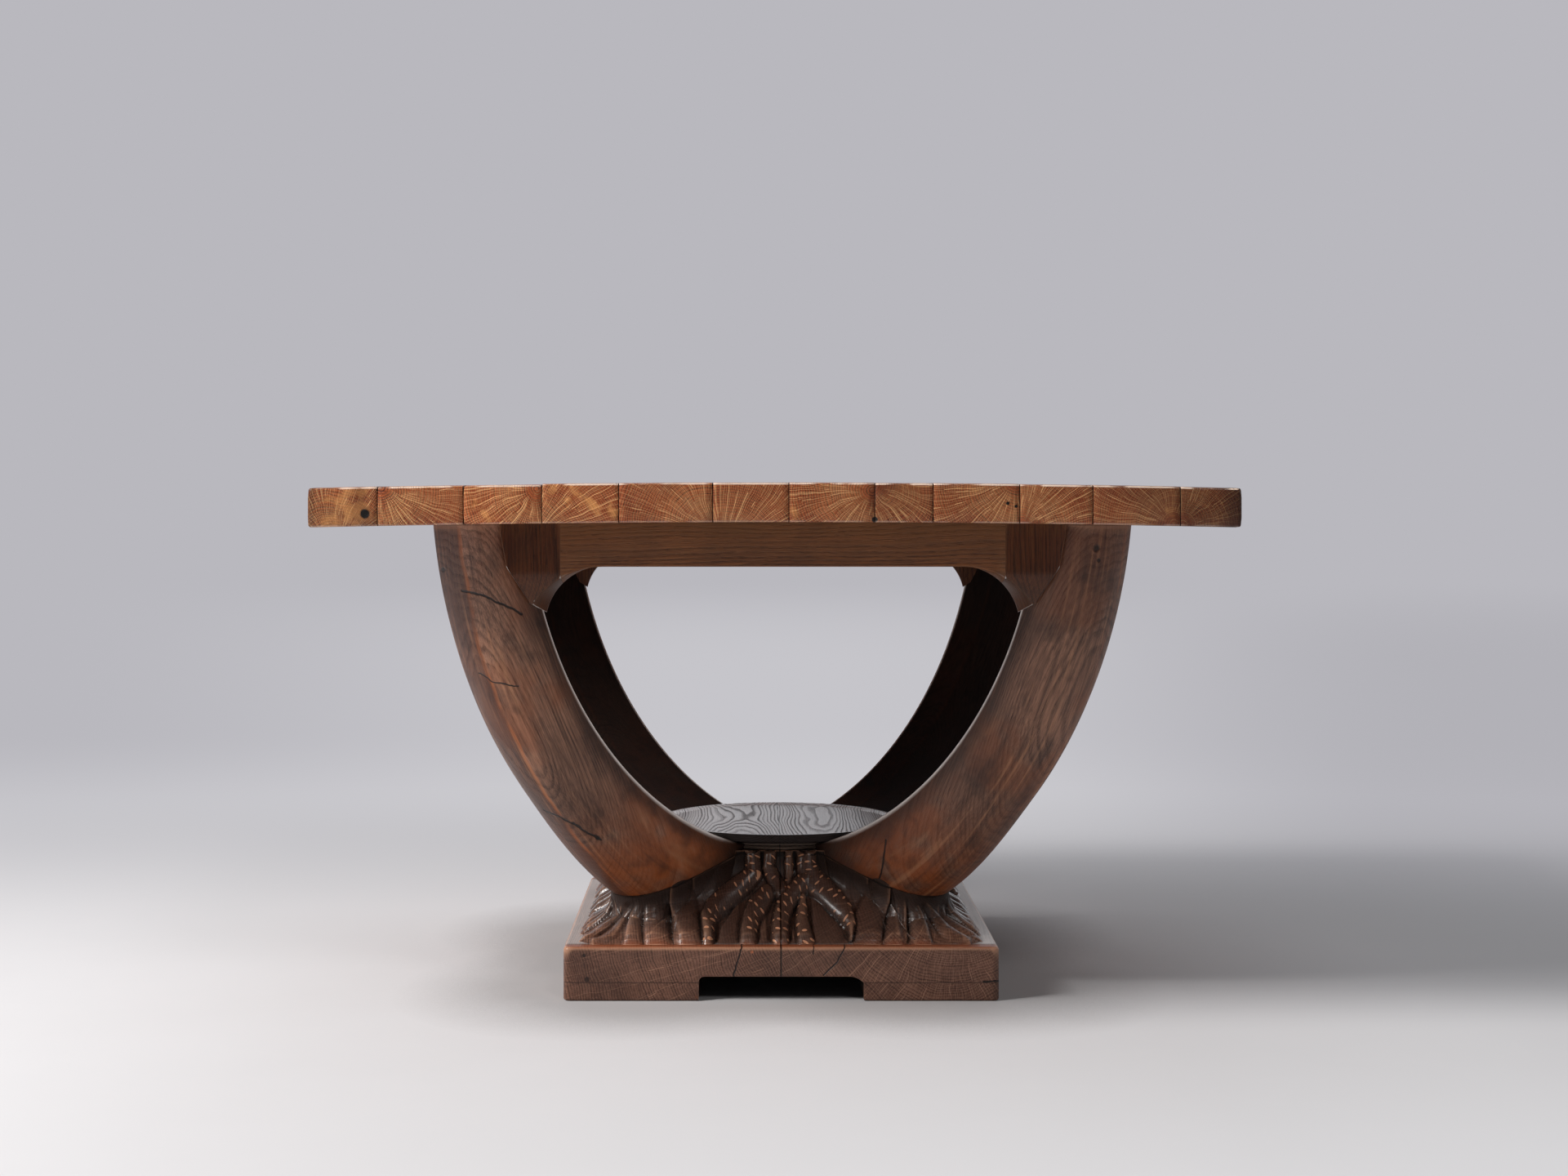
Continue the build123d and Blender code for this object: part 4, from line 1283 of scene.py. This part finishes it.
def base_rows(angle):
    """Rings about the axis, from the underside over the slab and up the mound: radius and height."""
    off = (angle % (np.pi / 2)) - np.pi / 4
    rows = []

    def add(reach, z):
        rows.append((reach, np.full(angle.shape, float(z)) if np.isscalar(z) else z))

    for half in (30, 200, slab_half):
        add(square_r(angle, half, slab_corner), slab_low)
    for step in range(1, slab_rows + 1):
        z = slab_low + (slab_high - slab_arris - slab_low) * step / slab_rows
        add(square_r(angle, slab_half, slab_corner), z)
    for step in range(1, arris_rows + 1):
        lean = math.pi / 2 * step / arris_rows
        inset = slab_arris * (1 - math.cos(lean))
        z = slab_high - slab_arris * (1 - math.sin(lean))
        add(square_r(angle, slab_half - inset, slab_corner - inset), z)
    rim = rows[-1][0]
    toe = np.minimum(skirt_r(angle, np.full(angle.shape, float(slab_high))), rim - 2)
    for step in range(1, flat_rows + 1):
        add(rim + (toe - rim) * step / (flat_rows + 1), slab_high)
    top = np.full(angle.shape, float(mound_top))
    flush = seam_ring(angle)
    meets = flush > skirt_r(angle, top)
    top = np.where(meets, np.minimum(seam_height(flush * np.cos(off)), mound_top), top)
    spare = np.where(meets, flush - skirt_r(angle, top), 0)
    for step in range(skirt_rows + 1):
        share = step / skirt_rows
        z = slab_high + (top - slab_high) * share**1.25
        swell = spare * np.exp(-(((top - z) / 46) ** 2)) * min(1, share * 3)
        add(np.minimum(skirt_r(angle, z) + swell, rim - 2), z)
    edge = rows[-1][0]
    for step in range(1, cap_rows + 1):
        reach = edge * (1 - step / (cap_rows + 2))
        across = np.abs(reach * np.sin(off))
        in_pocket = ((across < pocket_half) | meets) & (reach > hub_r)
        add(reach, np.where(in_pocket, np.minimum(seam_height(reach), mound_top), mound_top))
    return rows


def carved_rows(angle):
    """The rings with the carving pushed in and out of them, and what the finish needs to know."""
    rows = base_rows(angle)
    quarter = np.floor((angle + np.pi / 4) / (np.pi / 2)) * (np.pi / 2)
    reach = np.stack([row[0] for row in rows])
    z = np.stack([row[1] for row in rows])
    x = reach * np.sin(angle - quarter)
    relief = np.zeros(reach.shape)
    stem = np.zeros((*reach.shape, 3))
    end = len(rows) - cap_rows
    start = end - skirt_rows - 1
    first = start - flat_rows
    for number in range(start, end):
        relief[number], stem[number] = carve(x[number], z[number])
    for step in range(1, flat_rows + 1):
        relief[first - 1 + step] = np.minimum(relief[start], 6) * (step / (flat_rows + 1)) ** 3
    below = np.minimum(mound_top, z[end - 1]) - z
    between = 1 / (1 + np.exp((np.abs(x) - 80) / 6))
    room = np.clip(below / 6, 0, 1) ** 0.5 * between + np.clip(below / 30, 0, 1) * (1 - between)
    relief[start:end] *= room[start:end]
    slope_r = np.gradient(reach, axis=0)
    slope_z = np.gradient(z, axis=0)
    length = np.maximum(np.hypot(slope_r, slope_z), 1e-6)
    lift = np.clip((z - slab_high) / 9, 0, 1)
    moved_r = reach + relief * np.clip(slope_z / length, 0.35, 1)
    moved_z = z + np.where(z > slab_high, -relief * slope_r / length * lift, 0)
    moved_z = np.maximum(moved_z, np.where(z > slab_high, slab_high, z))
    moved_r[first:end] = np.minimum(moved_r[first:end], rows[first - 1][0] - 1)
    dressed = np.zeros(reach.shape)
    side_x = np.abs(x[start:end])
    above_toe = np.clip((z[start:end] - 84 - np.clip(side_x - 150, 0, 100) * 0.1) / 10, 0, 1)
    dressed[start:end] = np.maximum(np.clip((150 - side_x) / 40, 0, 1), above_toe * 0.9)
    return moved_r, moved_z, stem, dressed


def take_away(mesh, bm):
    """The mesh less the solid in a bmesh."""
    cutter_mesh = bpy.data.meshes.new("channel_cutter")
    bm.to_mesh(cutter_mesh)
    bm.free()
    cutter = bpy.data.objects.new("channel_cutter", cutter_mesh)
    whole = bpy.data.objects.new("whole_base", mesh)
    for thing in (cutter, whole):
        bpy.context.scene.collection.objects.link(thing)
    cut = whole.modifiers.new("channel", "BOOLEAN")
    cut.operation = "DIFFERENCE"
    cut.solver = "EXACT"
    cut.object = cutter
    done = bpy.data.meshes.new_from_object(whole.evaluated_get(bpy.context.evaluated_depsgraph_get()))
    for thing in (cutter, whole):
        bpy.data.objects.remove(thing)
    return done


def cut_channel(mesh):
    """Plough the cross-shaped channel out of the underside. Its front right corner is worn."""
    low = slab_low * MM
    for turn in (0, 90):
        bm = bmesh.new()
        size = Matrix.Diagonal((*[side * MM for side in channel_size], 1))
        place = Matrix.Translation((axis_x * MM, 0, low)) @ Matrix.Rotation(math.radians(turn), 4, "Z")
        bmesh.ops.create_cube(bm, size=1, matrix=place @ size)
        along = [edge for edge in bm.edges if all(vert.co.z > low for vert in edge.verts)
                 and edge.calc_length() > 500 * MM]
        round_edges(bm, along, channel_round * MM, 5)
        for vert in bm.verts:
            if turn == 90 and vert.co.y < 0 and vert.co.x > (axis_x + 100) * MM and vert.co.z > low:
                vert.co.x -= (vert.co.z - low) * 1.2
        mesh = take_away(mesh, bm)
    return mesh


def make_base():
    angle = even_angles()
    reach, z, stem, dressed = carved_rows(angle)
    loops = []
    for row_r, row_z in zip(reach, z):
        spots = np.stack((axis_x + row_r * np.cos(angle), row_r * np.sin(angle), row_z), axis=1)
        loops.append([tuple(spot) for spot in spots])
    bm = bmesh.new()
    sweep(bm, loops[:low_rings])
    slab, _ = as_mesh(bm, "base_slab")
    bm = bmesh.new()
    bm.from_mesh(cut_channel(slab))
    sweep(bm, loops, low_rings)
    whole, spots = as_mesh(bm, "base_block")
    carry(whole, "log", (spots - axis)[:, (0, 2, 1)] + np.array((-250, -170, 12000)))
    found = np.empty(len(spots), np.int32)
    whole.attributes["order"].data.foreach_get("value", found)
    carry(whole, "stem", stem.reshape(-1, 3)[found])
    carry(whole, "carved", dressed.ravel()[found])
    weather(whole, spots, 3, 5)
    for name, keep in (("left", -1), ("right", 1)):
        bm = bmesh.new()
        bm.from_mesh(whole)
        slice_off(bm, Vector((axis_x, 0, 0)) * MM, Vector((-keep, 0, 0)))
        mesh, _ = as_mesh(bm, f"base_{name}")
        set_piece(f"carved_base_{name}", mesh, base_oak, "base_oak", f"base_{name}", smooth=50)


make_base()


# ---- Tray ---------------------------------------------------------------------------------
# A shallow round tray, turned in two halves from oak, with a rim, a moulding and a neck. It
# is let into the legs and dowelled to the mound. Its top is painted pale grey as a painted
# reflection of the bright backdrop, and the moulding under it is painted lighter as a painted highlight.

tray_profile = (
    (0.5, 199), (166, 199), (169.5, 199.8), (171, 202), (169.5, 204.2), (166, 205), (165.6, 207),
    (167, 209.6), (170.5, 211.6), (175, 213), (190, 213), (192.2, 213.9), (193, 215), (193, 222.6),
    (192.2, 224.4), (190.5, 225), (185.5, 225), (183.5, 224.6), (178, 222.4), (175, 222), (120, 222),
    (60, 222), (0.5, 222),
)
tray_steps = 256


def make_tray_finish():
    finish, spot, (x, y, z) = new_finish("tray_oak")
    # The top of the tray is painted pale grey: a painted reflection of the bright backdrop. The rim and
    # underside keep the dark brown of the wood.
    wood = oak(finish, (14, 7, 5), (226, 220, 224), (252, 248, 251), (252, 248, 251), ring=2.9, ray=0.2,
               open_grain=0.95)
    blotch = finish.cloud(spot, 8, 4)
    reach = finish.maths("SQRT", (x - axis_x) ** 2 + y * y)
    inside = z.step(221.2, 222.6) * reach.fall(188.5, 190.5)
    colour = finish.coats(
        wood["colour"],
        (1 - inside, (27, 10, 3)),
        # A painted highlight: the moulding and neck under the tray are painted lighter, though they sit in
        # shade.
        (z.fall(206, 209) * 0.85, (122, 102, 88)),
        (abs(x - axis_x).fall(0.3, 1.1) * 0.8, (16, 9, 6)),
    )
    lean = wood["early"] * 0.8
    rough = 0.19 + blotch * 0.1 + lean * 0.5 + (1 - inside) * 0.37
    sheen = inside * 0.9 - lean * inside
    return polish(finish, colour, wood["height"] + blotch, rough, 0.0005, sheen, 0.18, specular=0.55)


tray_oak = make_tray_finish()


def make_tray():
    bm = bmesh.new()
    verts = [bm.verts.new(((axis_x + r) * MM, 0, z * MM)) for r, z in tray_profile]
    line = [bm.edges.new(pair) for pair in zip(verts, verts[1:])]
    bmesh.ops.spin(bm, geom=verts + line, cent=(axis_x * MM, 0, 0), axis=(0, 0, 1), angle=2 * math.pi,
                   steps=tray_steps, use_merge=True)
    bmesh.ops.holes_fill(bm, edges=bm.edges, sides=0)
    bmesh.ops.recalc_face_normals(bm, faces=bm.faces)
    for name, keep in (("left", -1), ("right", 1)):
        half = bm.copy()
        slice_off(half, Vector((axis_x, 0, 0)) * MM, Vector((-keep, 0, 0)))
        mesh, spots = as_mesh(half, f"tray_{name}")
        log = (spots - axis)[:, (0, 2, 1)] + np.array((-60 * keep, -300, 16000 + 900 * keep))
        carry(mesh, "log", log)
        set_piece(f"round_tray_{name}", mesh, tray_oak, "tray_oak", f"tray_{name}", smooth=40)
    bm.free()


make_tray()


# ---- Feet ---------------------------------------------------------------------------------
# Four square blocks of oak under the corners of the slab, with their outer corners rounded and
# their lower edges eased. They are dowelled to the slab, and waxed and worn like the base.

foot_arris = 3.5


def make_foot(name):
    low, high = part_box(name)
    bm = block((low + high) / 2, high - low)

    def reach(vert):
        return abs(vert.co.x - axis_x * MM) + abs(vert.co.y)

    outer = max(reach(vert) for vert in bm.verts)
    corner = [edge for edge in bm.edges if all(reach(vert) > outer - MM for vert in edge.verts)]
    round_edges(bm, corner, slab_corner * MM, 6)
    soles = [edge for edge in bm.edges if max(vert.co.z for vert in edge.verts) < low.z + MM]
    round_edges(bm, soles, foot_arris * MM, 3)
    cut_even(bm, low, high, (20, 20, 6))
    bmesh.ops.recalc_face_normals(bm, faces=bm.faces)
    mesh, spots = as_mesh(bm, name)
    carry(mesh, "log", (spots - axis)[:, (0, 2, 1)] + np.array((-250, -140, 20000)))
    weather(mesh, spots, 2, 3)
    set_piece(f"oak_{name}", mesh, base_oak, "base_oak", name, smooth=40)


for name in leg_turns:
    make_foot(f"foot_{name}")


# ---- Hidden joinery -----------------------------------------------------------------------
# Splines, dowels, loose tenons, keys and buttons of clean dry oak, and the steel screws of the
# buttons. Nothing of them shows on the finished table.

joinery_nodes = ("top_splines", "top_buttons", "knee_dowels", "leg_tenons", "base_dowels", "foot_dowels",
                 "tray_dowels", "tray_keys")


def make_joinery_finish():
    finish = Finish(bpy.data.materials.new("joinery_oak"))
    spot = finish.node("ShaderNodeTexCoord", output=3)
    log = finish.stretch(spot, (1000, 1000, 1000))
    wood = oak(finish, (96, 62, 36), (170, 128, 84), (198, 158, 112), (222, 190, 146), ring=3.0, ray=0.4,
               log=log)
    blotch = finish.cloud(spot, 20, 3)
    colour = finish.coats(wood["colour"], (blotch.step(0.45, 0.7) * 0.3, (120, 84, 52)))
    return polish(finish, colour, wood["height"] + blotch, 0.6 + blotch * 0.15, 0.0004, 0.0)


def make_steel_finish():
    finish = Finish(bpy.data.materials.new("screw_steel"))
    spot = finish.node("ShaderNodeTexCoord", output=3)
    brushed = finish.cloud(finish.stretch(spot, (900, 900, 60)), 1, 3)
    tarnish = finish.cloud(spot, 140, 3)
    colour = finish.mix(tarnish.step(0.5, 0.7) * 0.5, paint(176, 176, 178), paint(104, 98, 92))
    skin = {"Base Color": colour, "Metallic": 1.0, "Roughness": brushed * 0.2 + tarnish * 0.3 + 0.15}
    grain = {"Strength": 0.6, "Distance": 0.0002, "Height": brushed}
    skin["Normal"] = finish.node("ShaderNodeBump", None, grain)
    surface = finish.node("ShaderNodeBsdfPrincipled", None, skin)
    finish.node("ShaderNodeOutputMaterial", None, {"Surface": surface})
    return finish.owner


joinery_finishes = dict.fromkeys(joinery_nodes, make_joinery_finish())
joinery_finishes["top_button_screws"] = make_steel_finish()
for name, material in joinery_finishes.items():
    for place in bpy.data.objects[name].material_slots:
        place.material = material
